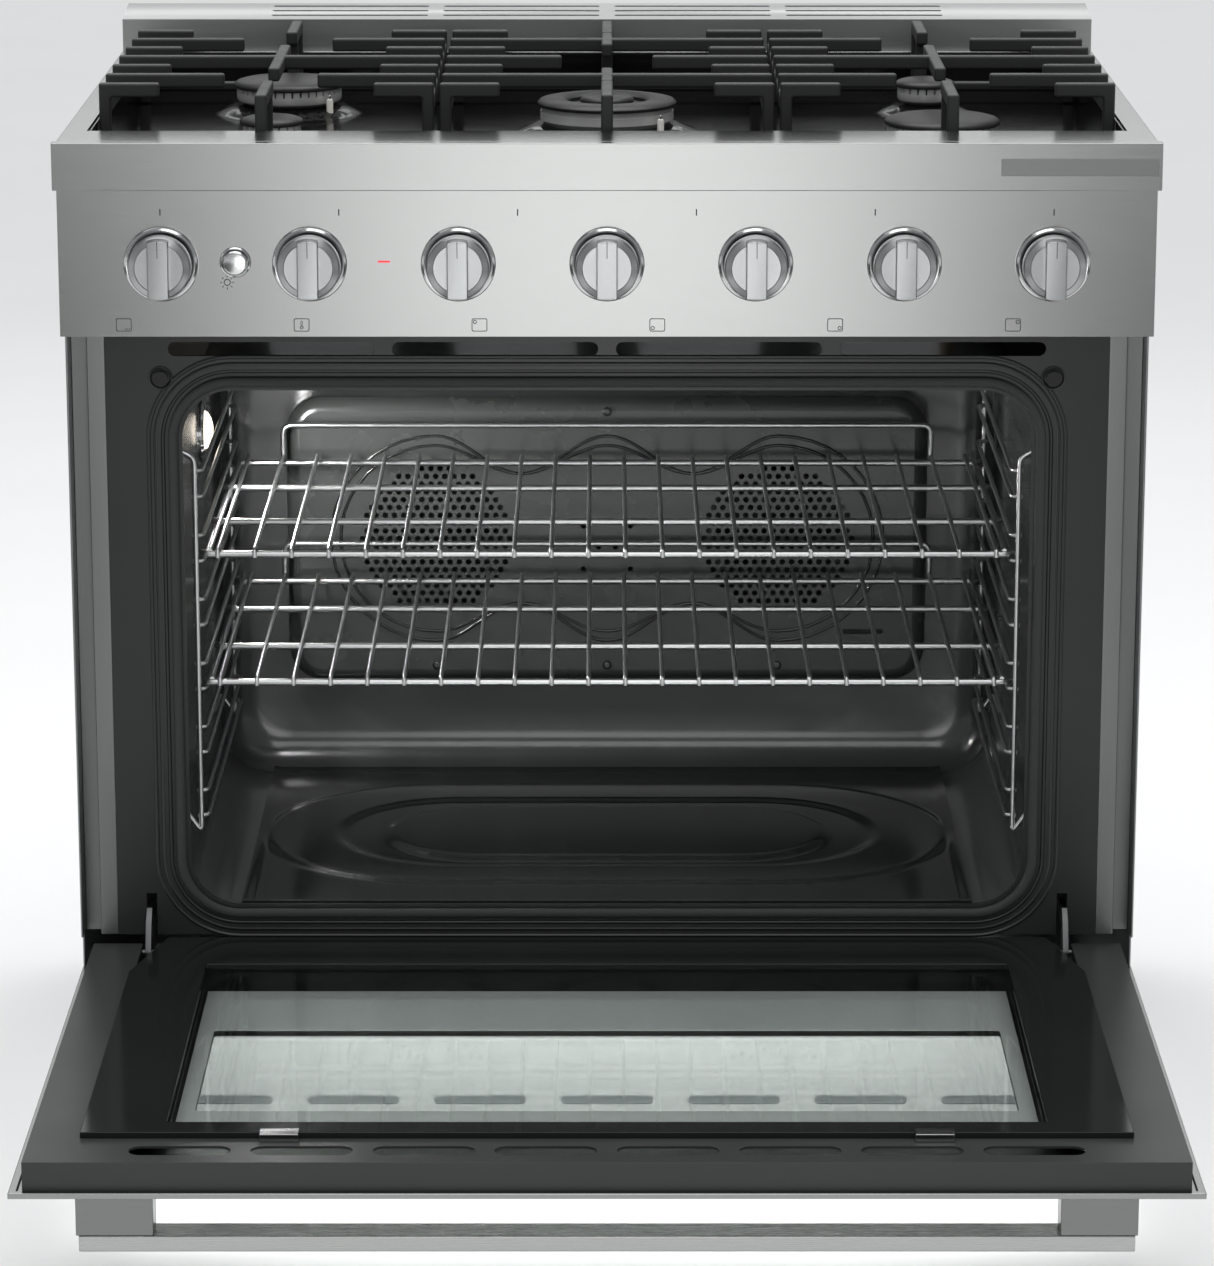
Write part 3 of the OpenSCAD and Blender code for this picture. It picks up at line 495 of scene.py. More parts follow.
# %% Wires, turned shapes and punched plates
def filleted(points, radius, steps=4):
    """A route with each corner turned into a short bend."""
    points = [Vector(p) for p in points]
    route = [points[0]]
    for before, corner, after in zip(points, points[1:], points[2:]):
        back, ahead = before - corner, after - corner
        start = corner + back.normalized() * min(radius, back.length * 0.48)
        end = corner + ahead.normalized() * min(radius, ahead.length * 0.48)
        for i in range(steps + 1):
            t = i / steps
            route.append(start.lerp(corner, t).lerp(corner.lerp(end, t), t))
    return route + [points[-1]]


def bridge(bm, rings):
    """Walls between rings of the same number of points, each joined to the next."""
    for a, b in zip(rings, rings[1:]):
        for k in range(len(a)):
            n = (k + 1) % len(a)
            bm.faces.new((a[k], a[n], b[n], b[k]))


def loft(bm, sections, cap=True, both=False):
    """Walls through sections of points, with the last section closed, or both end ones."""
    rings = [[bm.verts.new(p) for p in section] for section in sections]
    bridge(bm, rings)
    if cap:
        bm.faces.new(rings[-1])
    if both:
        bm.faces.new(reversed(rings[0]))


def wire(bm, route, radius, sides=8):
    """A round wire with closed ends along a route of points."""
    route = [Vector(p) for p in route]
    side = (route[1] - route[0]).orthogonal().normalized()
    sections = []
    for i, point in enumerate(route):
        ahead = (route[min(i + 1, len(route) - 1)] - route[max(i - 1, 0)]).normalized()
        side = (side - ahead * side.dot(ahead)).normalized()
        other = ahead.cross(side)
        sections.append([point + (side * c + other * s) * radius for c, s in round_points(sides)])
    loft(bm, sections, both=True)


def lathe(bm, profile, spot, toward="z", sides=64, closed=False):
    """Turns (radius, height) points about an axis through spot that points up or to the front."""
    spot = Vector(spot)
    rings = []
    for r, h in profile:
        around = round_points(sides)[:1 if r == 0 else sides]
        turned_points = [(r * c, r * s, h) if toward == "z" else (r * c, -h, r * s) for c, s in around]
        rings.append([bm.verts.new(spot + Vector(p)) for p in turned_points])
    pairs = list(zip(rings, rings[1:])) + ([(rings[-1], rings[0])] if closed else [])
    for a, b in pairs:
        for k in range(sides):
            n = (k + 1) % sides
            corners = [a[k % len(a)], a[n % len(a)], b[n % len(b)], b[k % len(b)]]
            unique = list(dict.fromkeys(corners))
            if len(unique) > 2:
                bm.faces.new(unique)


def in_mm(*points):
    return [tuple(value * MM for value in point) for point in points]


def round_points(sides):
    turns = [math.tau * k / sides for k in range(sides)]
    return [(math.cos(turn), math.sin(turn)) for turn in turns]


def ring_outline(x, z, r, sides=24):
    return [(x + r * c, z + r * s) for c, s in round_points(sides)]


def box_outline(x, z, w, h, r=0.0, steps=6):
    """A rectangle w by h around a centre, with corners of radius r."""
    outline = []
    for i, (sx, sz) in enumerate(((1, 1), (-1, 1), (-1, -1), (1, -1))):
        cx, cz = x + sx * (w / 2 - r), z + sz * (h / 2 - r)
        if r == 0:
            outline.append((cx, cz))
            continue
        for k in range(steps + 1):
            turn = math.pi / 2 * (i + k / steps)
            outline.append((cx + r * math.cos(turn), cz + r * math.sin(turn)))
    return outline


def punched(name, outlines, thick, place, flat=False):
    """A plate cut from outlines in X and Z (X and Y when flat), its middle on the plane at place."""
    data = bpy.data.curves.new(name, "CURVE")
    data.dimensions = "2D"
    data.fill_mode = "BOTH"
    data.extrude = thick / 2
    for outline in outlines:
        spline = data.splines.new("POLY")
        spline.points.add(len(outline) - 1)
        for point, (u, v) in zip(spline.points, outline):
            point.co = (u, v, 0, 1)
        spline.use_cyclic_u = True
    curve = add_object(name + "_outline", data)
    graph = bpy.context.evaluated_depsgraph_get()
    mesh = bpy.data.meshes.new_from_object(curve.evaluated_get(graph))
    bpy.data.objects.remove(curve)
    bm = bmesh.new()
    bm.from_mesh(mesh)
    bmesh.ops.remove_doubles(bm, verts=bm.verts, dist=0.000001)
    turn = Matrix() if flat else Matrix.Rotation(math.pi / 2, 4, "X")
    shift = (0, 0, place) if flat else (0, place, 0)
    bmesh.ops.transform(bm, matrix=Matrix.Translation(shift) @ turn, verts=bm.verts)
    return from_bmesh(name, bm)


def middle(node):
    lo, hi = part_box(node)
    return (lo + hi) / 2


print("helpers for wires, rings and plates ready")

# %% [markdown]
# Each knob is a machined disc with a bar left standing across it. The disc's rim is bevelled twice, the
# bar is flat-topped with small round edges and carries a notch that points up, and a thin dark line of
# shadow parts it from the chrome ring behind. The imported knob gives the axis, the radius and the
# length; the bar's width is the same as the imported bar's.

# %% Knobs and their rings
GRIP_W, GRIP_D = 17 * MM, 13 * MM
KNOB_D, SHAFT_D, SHAFT_R = 27 * MM, 30 * MM, 4 * MM
KNOB_NAMES = [f"knob_{n}" for n in range(1, 8)]
for name in KNOB_NAMES:
    lo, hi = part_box(name)
    radius = (hi.x - lo.x) / 2
    axis = Vector(((lo.x + hi.x) / 2, lo.y, (lo.z + hi.z) / 2))
    face = name + "_face"
    turned(face, axis, (0.40, 0.41, 0.41), 0.30)
    bm = bmesh.new()
    rim = in_mm((-1, -27), (0, -26), (0, -14.5), (-1, -13), (-5.5, -11), (-6, -11.8))
    lathe(bm, [(0, -KNOB_D)] + [(radius + r, h) for r, h in rim] + [(0, -12 * MM)], axis, "front", 96)
    finish_piece(from_bmesh(name + "_disc", bm, 25), name, face)
    # a knob that does not push carries its own shaft
    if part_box(name)[1].y - lo.y > SHAFT_D:
        bm = bmesh.new()
        far, near = -KNOB_D - SHAFT_D, -KNOB_D + 1 * MM
        lathe(bm, [(0, far), (SHAFT_R, far), (SHAFT_R, near), (0, near)], axis, "front", 24)
        finish_piece(from_bmesh(name + "_shaft", bm), name, "brass", replace=False)
    # the bar: a slab cut to the disc's round, with a notch in its top end
    reach = radius - 1.2 * MM
    end = math.asin(GRIP_W / 2 / reach)
    outline = [(reach * math.sin(a), reach * math.cos(a)) for a in np.linspace(-end, end, 9)]
    outline += [(-x, -z) for x, z in outline]
    outline = [(axis.x + x, axis.z + z) for x, z in outline]
    bar = punched(name + "_bar", [outline], GRIP_D, axis.y + GRIP_D / 2)
    with reshaping(bar) as bm:
        in_front = [e for e in bm.edges if all(v.co.y < axis.y + 0.5 * MM for v in e.verts)]
        rim = [e for e in in_front if e.calc_face_angle(0) > 0.6]
        bmesh.ops.bevel(bm, geom=rim, offset=0.9 * MM, segments=2, affect="EDGES", profile=0.5)
    shade(bar, 30)
    even_shading(bar)
    finish_piece(bar, name, face, replace=False)
    bm = bmesh.new()
    tip = axis + Vector((0, -0.02 * MM, reach - 0.5 * MM))
    wire(bm, [tip, tip - Vector((0, 0, 14 * MM))], 0.32 * MM, 6)
    finish_piece(from_bmesh(name + "_notch", bm), name, "printed_ink", replace=False)

face_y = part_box("control_panel")[0].y
bm = bmesh.new()
for name in KNOB_NAMES:
    center = middle(name)
    center.y = face_y
    radius = (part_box(name)[1].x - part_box(name)[0].x) / 2
    ring = in_mm((31, 0), (31, 2.2), (30.2, 3.4), (28.6, 4), (27, 3.8), (26.6, 2.6))
    hole = radius - 8 * MM
    lathe(bm, [(hole, 0)] + ring + [(hole, 2 * MM)], center, "front", 96, closed=True)
button = middle("light_button")
button.y = face_y
small_ring = in_mm((10.5, 0), (13, 0), (12.6, 1.4), (11.6, 2), (10.5, 1.6))
lathe(bm, small_ring, button, "front", 64, closed=True)
finish_piece(from_bmesh("bezel_rings", bm, 25), "knob_bezels", "ring_chrome")

turned("button_face", button, (0.70, 0.71, 0.71), 0.18)
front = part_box("light_button")[0].y - face_y
bm = bmesh.new()
top = [(r, h - front) for r, h in in_mm((10, -1.2), (9.2, -0.3), (8.2, 0), (0, -0.3))]
lathe(bm, in_mm((0, -12), (7, -12), (7, 2.6), (10, 2.6)) + top, button, "front", 64)
finish_piece(from_bmesh("light_button_cap", bm, 25), "light_button", "button_face")
print("knobs", len(KNOB_NAMES))

# %% [markdown]
# The marks on the panel are printed: a row of even ticks above the knobs, a small symbol below and
# left of each tick that says which burner or function it stands for, and a sun by the light button.
# Each is a plate a tenth of a millimetre thick, cut from outlines, so that it stays a real shape in
# any export.

# %% Printed marks
INK = 0.1 * MM
MARK_COUNT = 6
mark_pitch = (middle("knob_7").x - middle("knob_1").x) / (MARK_COUNT - 1)
tick_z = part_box("control_panel")[0].z + 104 * MM
symbol_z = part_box("control_panel")[0].z + 9.9 * MM
tick_x = [middle("knob_1").x + n * mark_pitch for n in range(MARK_COUNT)]
SYMBOL_IN = 32 * MM
SYMBOL_W, SYMBOL_H, LINE = 13 * MM, 11 * MM, 0.65 * MM
marks = [box_outline(x, tick_z, 1.0 * MM, 5.4 * MM) for x in tick_x]


def frame_mark(x, z):
    return [box_outline(x, z, SYMBOL_W, SYMBOL_H, 1.6 * MM),
            box_outline(x, z, SYMBOL_W - 2 * LINE, SYMBOL_H - 2 * LINE, 1.1 * MM)]


burner_corners = [(-1, 1), (-1, -1), (1, -1), (1, 1)]
for n in range(MARK_COUNT):
    x = tick_x[n] - SYMBOL_IN
    if n < 2:
        marks += frame_mark(x, symbol_z)
    if n == 0:
        marks += [ring_outline(x + (1.5 + 1.6 * k) * MM, symbol_z - 3.4 * MM, 0.5 * MM, 8) for k in range(3)]
    elif n == 1:
        marks += [ring_outline(x, symbol_z - 2.2 * MM, 1.5 * MM, 12),
                  ring_outline(x, symbol_z - 2.2 * MM, 0.9 * MM, 12),
                  box_outline(x, symbol_z + 1.4 * MM, 1.6 * MM, 4.0 * MM, 0.7 * MM, 3),
                  box_outline(x, symbol_z + 1.4 * MM, 0.7 * MM, 3.1 * MM, 0.3 * MM, 3)]
    else:
        sx, sz = burner_corners[n - 2]
        marks += frame_mark(x, symbol_z)
        cx, cz = x + sx * 3.8 * MM, symbol_z + sz * 2.6 * MM
        marks += [ring_outline(cx, cz, 1.7 * MM, 16), ring_outline(cx, cz, 1.05 * MM, 16)]
sun = (button.x - 7 * MM, button.z - 17 * MM)
marks += [ring_outline(*sun, 2.9 * MM, 20), ring_outline(*sun, 2.2 * MM, 20)]
printed = punched("panel_marks", marks, INK, face_y - INK / 2)
SUN_RAYS, RAY_R = 8, 0.34 * MM
inner_ends = ring_outline(*sun, 4.1 * MM, SUN_RAYS)
outer_ends = ring_outline(*sun, 5.8 * MM, SUN_RAYS)
with reshaping(printed) as bm:
    for near, far in zip(inner_ends, outer_ends):
        wire(bm, [(x, face_y, z) for x, z in (near, far)], RAY_R, 6)
finish_piece(printed, "control_panel", "printed_ink", replace=False)
print("marks", len(marks))

# %% [markdown]
# A burner is a stack: a pressed dish in the tray, an alloy head whose rim is slotted with flame ports,
# and an enamelled cap that sits on it with a soft rounded edge. The middle burner has two rings, so
# its cap is a wide ring with a small cap inside. The ports are real slots, made by pulling every other
# stretch of the head's upper rim inwards.

# %% Burners
BURNER_PORT_H = 5.0 * MM


def burner_spots():
    """Centre and cap radius of each packed burner cap, found from the loose parts of the node."""
    bm = bmesh.new()
    bm.from_mesh(NODES["burner_caps"].data)
    bmesh.ops.remove_doubles(bm, verts=bm.verts, dist=0.00001)
    spots = []
    left = set(bm.verts)
    while left:
        part, todo = [], [left.pop()]
        while todo:
            v = todo.pop()
            part.append(v.co.copy())
            for e in v.link_edges:
                other = e.other_vert(v)
                if other in left:
                    left.remove(other)
                    todo.append(other)
        xs, ys, zs = ([p[i] for p in part] for i in range(3))
        middle_x, middle_y = (min(xs) + max(xs)) / 2, (min(ys) + max(ys)) / 2
        spots.append((Vector((middle_x, middle_y, min(zs))), (max(xs) - min(xs)) / 2))
    bm.free()
    return spots


def slotted_head(bm, spot, radius, height):
    """An alloy head from its foot up to the cap, with flame ports around its rim."""
    inner = radius - 5.5 * MM
    rim = radius - 2.5 * MM
    floor = height - BURNER_PORT_H
    profile = [(0, 0), (inner - 5 * MM, 0), (rim - 1 * MM, 4 * MM), (rim, 6 * MM), (rim, floor), (0, floor)]
    lathe(bm, profile, spot, "z", 96)
    ports = max(20, int(math.tau * rim / (7.5 * MM)))
    lower, upper = floor - 0.2 * MM, height
    for k in range(ports):
        start = math.tau * (k + 0.11) / ports
        stop = math.tau * (k + 0.89) / ports
        slices = []
        for turn in np.linspace(start, stop, 3):
            corners = ((inner - 3 * MM, lower), (rim, lower), (rim, upper), (inner - 3 * MM, upper))
            slices.append([spot + Vector((r * math.cos(turn), r * math.sin(turn), h)) for r, h in corners])
        loft(bm, slices, both=True)
    return ports


def cap_profile(radius, thick):
    edge = [(radius - 1.2 * MM, 0), (radius, 1.0 * MM), (radius, 2.4 * MM), (radius - 0.8 * MM, 3.8 * MM),
            (radius - 3 * MM, 5.2 * MM), (radius - 7 * MM, thick - 1.6 * MM), (radius * 0.5, thick - 0.5 * MM)]
    return [(0, 0)] + edge + [(0, thick)]


spots = burner_spots()
heads = bmesh.new()
caps = bmesh.new()
head_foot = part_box("burner_heads")[0].z
ports = 0
for spot, radius in spots:
    foot = Vector((spot.x, spot.y, head_foot))
    height = spot.z - head_foot
    if abs(spot.x) > 10 * MM:
        ports += slotted_head(heads, foot, radius, height)
        lathe(caps, cap_profile(radius, 8 * MM), spot, "z", 96)
        continue
    # the middle burner: a wide ring, then a small head and cap inside it
    hole = radius - 25 * MM
    outer_rim = radius - 2.5 * MM
    lathe(heads, [(hole, 0), (outer_rim - 4 * MM, 0), (outer_rim, 4 * MM), (outer_rim, height - 5 * MM),
                  (outer_rim - 1 * MM, height - 5 * MM), (outer_rim - 1 * MM, height), (hole, height)],
          foot, "z", 96, closed=True)
    ports += slotted_head(heads, foot + Vector((0, 0, 1 * MM)), 24 * MM, height + 1 * MM)
    ring_cap = [(hole - 1 * MM, 0), (radius, 0), (radius, 2.5 * MM), (radius - 2 * MM, 4.6 * MM),
                (radius - 10 * MM, 6 * MM), (hole + 3 * MM, 6 * MM), (hole - 1 * MM, 3 * MM)]
    lathe(caps, ring_cap, spot, "z", 96, closed=True)
    lathe(caps, cap_profile(24 * MM, 6 * MM), spot + Vector((0, 0, 2 * MM)), "z", 64)
finish_piece(from_bmesh("slotted_heads", heads, 30), "burner_heads", "burner_alloy")
finish_piece(from_bmesh("rounded_caps", caps, 40), "burner_caps", "cap_enamel")
print("burners", len(spots), "ports", ports)

# %% [markdown]
# The sparking electrode beside each burner is a white ceramic post with a metal pin in its top.

# %% Electrodes
bm = bmesh.new()
pins = bmesh.new()
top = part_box("igniters")[1].z
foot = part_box("igniters")[0].z
for spot, radius in spots:
    reach = (radius + 5 * MM) * math.cos(math.pi / 4)
    base = Vector((spot.x + reach, spot.y - reach, foot))
    tall = top - foot
    tip = base + Vector((0, 0, tall))
    lathe(bm, [(0, -tall), (3 * MM, -tall)] + in_mm((3, -5), (2.2, -3.5), (0, -3.5)), tip, "z", 20)
    lathe(pins, in_mm((0, -4.5), (0.8, -4.5), (0.8, -0.6), (0, 0)), tip, "z", 12)
finish_piece(from_bmesh("electrode_posts", bm), "igniters", "electrode_ceramic")
finish_piece(from_bmesh("electrode_pins", pins), "igniters", "wire_chrome", replace=False)
print("electrodes", len(spots))

# %% [markdown]
# An oven rack is welded wire: thin wires run front to back over four thicker cross wires, each thin
# wire curls down over the front one, and the rear has a raised stop that keeps pans off the back wall.
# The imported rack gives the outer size. Bends are rounded, so each wire shows one long highlight.

# %% Racks
FINE_R, HEAVY_R = 2.0 * MM, 3.0 * MM
RACK_WIRES = 22


def rack(node):
    lo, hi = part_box(node)
    low = lo.z + HEAVY_R
    fine = low + HEAVY_R + FINE_R - 0.6 * MM
    half = hi.x - 0.1 * MM
    inner = half - 14 * MM
    front, back = lo.y + HEAVY_R, hi.y - HEAVY_R
    step = 2 * inner / (RACK_WIRES - 1)
    bm = bmesh.new()
    for depth in (0.0, 0.328, 0.688, 0.972):
        y = front + (back - front) * depth
        bent = half - 5 * MM
        ends = [(-half, y + 6 * MM, low), (-bent, y, low), (bent, y, low), (half, y + 6 * MM, low)]
        wire(bm, filleted(ends, 4 * MM), HEAVY_R, 10)
    for i in range(RACK_WIRES):
        x = -inner + i * step
        curl = [(x, back + 1 * MM, fine), (x, front - 1.4 * MM, fine),
                (x, front - HEAVY_R - 0.2 * MM, fine - 2.6 * MM), (x, front - HEAVY_R + 0.2 * MM, low - 2 * MM)]
        wire(bm, filleted(curl, 1.6 * MM, 2), FINE_R, 8)
    stop_x, top = inner - step, hi.z - HEAVY_R
    foot = fine - 3 * MM
    stop = [(-stop_x, back, foot), (-stop_x, back, top), (stop_x, back, top), (stop_x, back, foot)]
    wire(bm, filleted(stop, 9 * MM, 6), HEAVY_R * 0.85, 10)
    # the ends of the side wires turn down behind the cross wires, as a catch under the guides
    for side in (-1, 1):
        x = side * (inner + 7 * MM)
        high = low + 3 * MM
        catch = [(x, front, high), (x, back - 20 * MM, high), (x, back - 6 * MM, high + 6 * MM)]
        wire(bm, filleted(catch, 6 * MM), FINE_R, 8)
    finish_piece(from_bmesh(node + "_wires", bm, 60), node, "rack_wire")


metal("rack_wire", (0.60, 0.605, 0.605), 0.30, 0.10)
rack("rack_upper")
rack("rack_lower")
print("racks", RACK_WIRES, "wires each")

# %% [markdown]
# The guides are side frames of bent wire. At each of the six positions one wire carries the rack and
# another one above it keeps the rack from tipping. Each turns out to the wall at both ends, where it
# is welded to an upright.

# %% Rack guides
GUIDE_N, GUIDE_PITCH, GUIDE_RISE = 6, 56.35 * MM, 22.5 * MM
lo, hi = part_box("rack_guides")
first = lo.z + 20 * MM
wall = hi.x - 0.3 * MM
rail = wall - 19 * MM + 0.3 * MM
bm = bmesh.new()
for side in (-1, 1):
    near, far = lo.y + 2.5 * MM, hi.y - 2.5 * MM
    for y in (near, far):
        post = [(side * wall, y, first + 4 * MM), (side * (rail + 6 * MM), y, first - 14 * MM),
                (side * (rail + 6 * MM), y, hi.z - 8 * MM), (side * wall, y, hi.z - 2 * MM)]
        wire(bm, filleted(post, 6 * MM), 2.3 * MM)
    for i in range(GUIDE_N):
        for up in (0, GUIDE_RISE):
            z = first + i * GUIDE_PITCH + up
            bar = [(side * (rail + 9 * MM), near + 2 * MM, z), (side * rail, near + 4 * MM, z),
                   (side * rail, far - 4 * MM, z), (side * (rail + 9 * MM), far - 2 * MM, z)]
            wire(bm, filleted(bar, 5 * MM), 2.0 * MM)
finish_piece(from_bmesh("guide_wires", bm, 60), "rack_guides", "rack_wire")
print("guide wires", 4 * GUIDE_N + 4)

# %% [markdown]
# The oven is one deep-drawn, welded box: its walls meet the back in a wide soft curve. Sections of the
# opening's rounded outline, each a little smaller than the one before, make that curve, and
# the sheet's thickness is added outwards afterwards.

# %% Oven box
def thicken(obj, thick, offset=1.0):
    shell = obj.modifiers.new("thickness", "SOLIDIFY")
    shell.thickness = thick
    shell.offset = offset
    shell.use_even_offset = True
    apply_modifiers(obj)


lo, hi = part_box("oven_liner")
sheet = 2 * MM
inner_w, inner_h = hi.x - lo.x - 2 * sheet, hi.z - lo.z - 2 * sheet
center_x, center_z = (lo.x + hi.x) / 2, (lo.z + hi.z) / 2
inside_back = hi.y - sheet
corner, curve = 47 * MM, 34 * MM
sections = []
steps = [(lo.y, 0.0), (inside_back - curve, 0.0)]
for a in np.linspace(0.2, math.pi / 2, 8):
    steps.append((inside_back - curve + curve * math.sin(a), curve * (1 - math.cos(a))))
for depth, inset in steps:
    outline = box_outline(center_x, center_z, inner_w - 2 * inset, inner_h - 2 * inset, corner - inset * 0.4, 10)
    sections.append([(x, depth, z) for x, z in outline])
bm = bmesh.new()
loft(bm, sections)
obj = from_bmesh("oven_box", bm, 40)
with reshaping(obj) as bm:
    for face in bm.faces:
        inward = middle("oven_liner") - face.calc_center_median()
        if face.normal.dot(inward) < 0:
            face.normal_flip()
thicken(obj, sheet * 0.95, -1.0)
shade(obj, 40)
finish_piece(obj, "oven_liner", "oven_enamel")
print("oven box sections", len(sections))

# %% [markdown]
# The oven lamp sits in the left wall under a domed glass, held by a thin plated ring.

# %% Oven lamp
lo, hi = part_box("oven_lamp")
lamp_y, lamp_z = (lo.y + hi.y) / 2, (lo.z + hi.z) / 2
wall_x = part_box("oven_liner")[0].x + sheet


def turned_inwards(name, profile, finish, replace):
    """A turned shape whose axis points into the oven from its left wall."""
    bm = bmesh.new()
    lathe(bm, profile, (0, 0, 0), "z", 48)
    turn = Matrix.Translation((wall_x, lamp_y, lamp_z)) @ Matrix.Rotation(math.pi / 2, 4, "Y")
    bmesh.ops.transform(bm, matrix=turn, verts=bm.verts)
    finish_piece(from_bmesh(name, bm, 40), "oven_lamp", finish, replace=replace)


dome = in_mm((0, -28), (18, -28), (18, 2), (16, 6), (11, 9), (5, 10.6), (0, 11))
turned_inwards("lamp_dome", dome, "lamp_glow", True)
ring = in_mm((0, 0.2), (29, 0.2), (29, 2), (26, 4.5), (20, 4), (18.6, 1), (0, 1))
turned_inwards("lamp_ring", ring, "ring_chrome", False)
print("lamp at", round(lamp_y, 3), round(lamp_z, 3))

# %% [markdown]
# The floor of the oven is stamped with long ovals that stiffen it. A fine grid carries a height worked
# out from the distance to each oval's edge, which gives the soft steps of a pressed sheet.

# %% Oven floor
lo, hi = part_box("oven_floor_panel")
# length, width and rise of each oval
OVALS = in_mm((616, 314, 2.4), (482, 209, -3.2), (396, 165, 3))
across, along = 200, 150
xs = np.linspace(lo.x, hi.x, across)
ys = np.linspace(lo.y, hi.y, along)
grid_x, grid_y = np.meshgrid(xs, ys)
middle_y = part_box("front_trim")[0].y + 279 * MM
height = np.zeros_like(grid_x)
for length, width, rise in OVALS:
    off = np.hypot(np.maximum(np.abs(grid_x) - (length - width) / 2, 0), grid_y - middle_y) - width / 2
    step = np.clip(0.5 - off / (14 * MM), 0, 1)
    height += rise * step * step * (3 - 2 * step)
edge = np.minimum.reduce([grid_x - lo.x, hi.x - grid_x, grid_y - lo.y, hi.y - grid_y])
lip = np.clip(1 - edge / (12 * MM), 0, 1)
height += 2.5 * MM * lip * lip * (3 - 2 * lip)
verts = np.stack([grid_x, grid_y, lo.z + 1.6 * MM + height], axis=-1).reshape(-1, 3)
faces = [(r * across + c, r * across + c + 1, (r + 1) * across + c + 1, (r + 1) * across + c)
         for r in range(along - 1) for c in range(across - 1)]
mesh = bpy.data.meshes.new("pressed_floor")
mesh.from_pydata(verts.tolist(), [], faces)
obj = add_object("pressed_floor", mesh)
thicken(obj, 1.4 * MM, -1.0)
shade(obj, 50)
finish_piece(obj, "oven_floor_panel", "floor_enamel")
print("floor vertices", len(obj.data.vertices))

# %% [markdown]
# The rear baffle hides the two convection fans. It is a shallow pan with a soft edge. In front of each
# fan a disc of small holes in a honeycomb pattern lets the air in, and wavy beads around the discs
# stiffen the sheet. The pan is a loft, its face is a punched plate, and the beads are wires that lie
# half sunk in the face.

# %% Fan baffle
lo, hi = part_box("fan_baffle")
FANS = [middle("fan_left"), middle("fan_right")]
DISC_R, HOLE_PITCH, HOLE_R = 72 * MM, 8.6 * MM, 2.8 * MM
PAN_CURVE = 13 * MM
center_z = (lo.z + hi.z) / 2
pan_w, pan_h, pan_r = hi.x - lo.x, hi.z - lo.z, 33 * MM
holes = []
rows = int(DISC_R / (HOLE_PITCH * 0.866))
for fan in FANS:
    for row in range(-rows, rows + 1):
        for col in range(-9, 10):
            x, z = (col + 0.5 * (row % 2)) * HOLE_PITCH, row * HOLE_PITCH * 0.866
            if math.hypot(x, z) < DISC_R - HOLE_R:
                holes.append(ring_outline(fan.x + x, fan.z + z, HOLE_R, 10))
disc_holes = len(holes)
for side in (-1, 1):
    for x, z in in_mm((22, -29), (22, 12), (8, -8)):
        holes.append(ring_outline(side * x, FANS[0].z + z, 2.6 * MM, 12))
holes += [box_outline(*slot) for slot in in_mm((240, 383.5, 38, 5, 2.4), (232, 368.5, 53, 5, 2.4))]
flat_w, flat_h = pan_w - 2 * PAN_CURVE, pan_h - 2 * PAN_CURVE
edge = box_outline(0, center_z, flat_w, flat_h, pan_r - PAN_CURVE, 8)
face = punched("baffle_face", [edge] + holes, 1.2 * MM, lo.y + 0.6 * MM)
finish_piece(face, "fan_baffle", "baffle_enamel")
sections = []
for a in np.linspace(0, math.pi / 2, 7):
    inset, depth = PAN_CURVE * (1 - math.sin(a)), PAN_CURVE * (1 - math.cos(a))
    outline = box_outline(0, center_z, pan_w - 2 * inset, pan_h - 2 * inset, pan_r - inset, 8)
    sections.append([(x, lo.y + depth, z) for x, z in outline])
sections.append([(x, hi.y - 1 * MM, z) for x, _, z in sections[-1]])
bm = bmesh.new()
loft(bm, sections, cap=False)
pan = from_bmesh("baffle_pan", bm, 50)
thicken(pan, 1.2 * MM, -1.0)
shade(pan, 50)
finish_piece(pan, "fan_baffle", "baffle_enamel", replace=False)

bm = bmesh.new()
swing = FANS[1].x
for up in (-1, 1):
    for reach in (98 * MM, 89 * MM):
        route = []
        for a in np.linspace(math.radians(190), math.pi / 2, 12):
            route.append((-swing + reach * math.cos(a), reach * math.sin(a)))
        for x in np.linspace(-swing, swing, 41)[1:-1]:
            wave = 0.5 + 0.5 * math.cos(math.tau * x / swing)
            route.append((x, 62 * MM + (reach - 62 * MM) * wave))
        for a in np.linspace(math.pi / 2, math.radians(-10), 12):
            route.append((swing + reach * math.cos(a), reach * math.sin(a)))
        wire(bm, [(x, lo.y + 0.4 * MM, FANS[0].z + up * z) for x, z in route], 1.7 * MM, 8)
# the darker bead enamel paints shade along the pressed ridges
finish_piece(from_bmesh("baffle_beads", bm, 60), "fan_baffle", "bead_enamel", replace=False)
bm = bmesh.new()
head = in_mm((0, 0), (4.2, 0), (4.2, 1.2), (3, 2.4), (1.8, 2.6), (1.8, 1.6), (0, 1.6))
screw_z = lo.z + 17 * MM
for x, z in ((0, screw_z), (-swing, screw_z), (swing, screw_z), (0, hi.z - 13 * MM)):
    lathe(bm, head, (x, lo.y, z), "front", 24)
finish_piece(from_bmesh("baffle_screws", bm), "fan_baffle", "hinge_steel", replace=False)
print("baffle holes", disc_holes, "other holes", len(holes) - disc_holes)

# %% [markdown]
# Around the opening the front frame is pressed into soft ridges, and the woven seal lies just inside
# them on hooks. Round tubes swept along the opening's own outline make both, half sunk in the face.

# %% Opening ridges and seal
lo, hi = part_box("door_gasket")
frame_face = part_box("front_frame")[0].y + 1.5 * MM
outer_w, outer_h, outer_r = hi.x - lo.x, hi.z - lo.z, 54 * MM
seal_z = (lo.z + hi.z) / 2


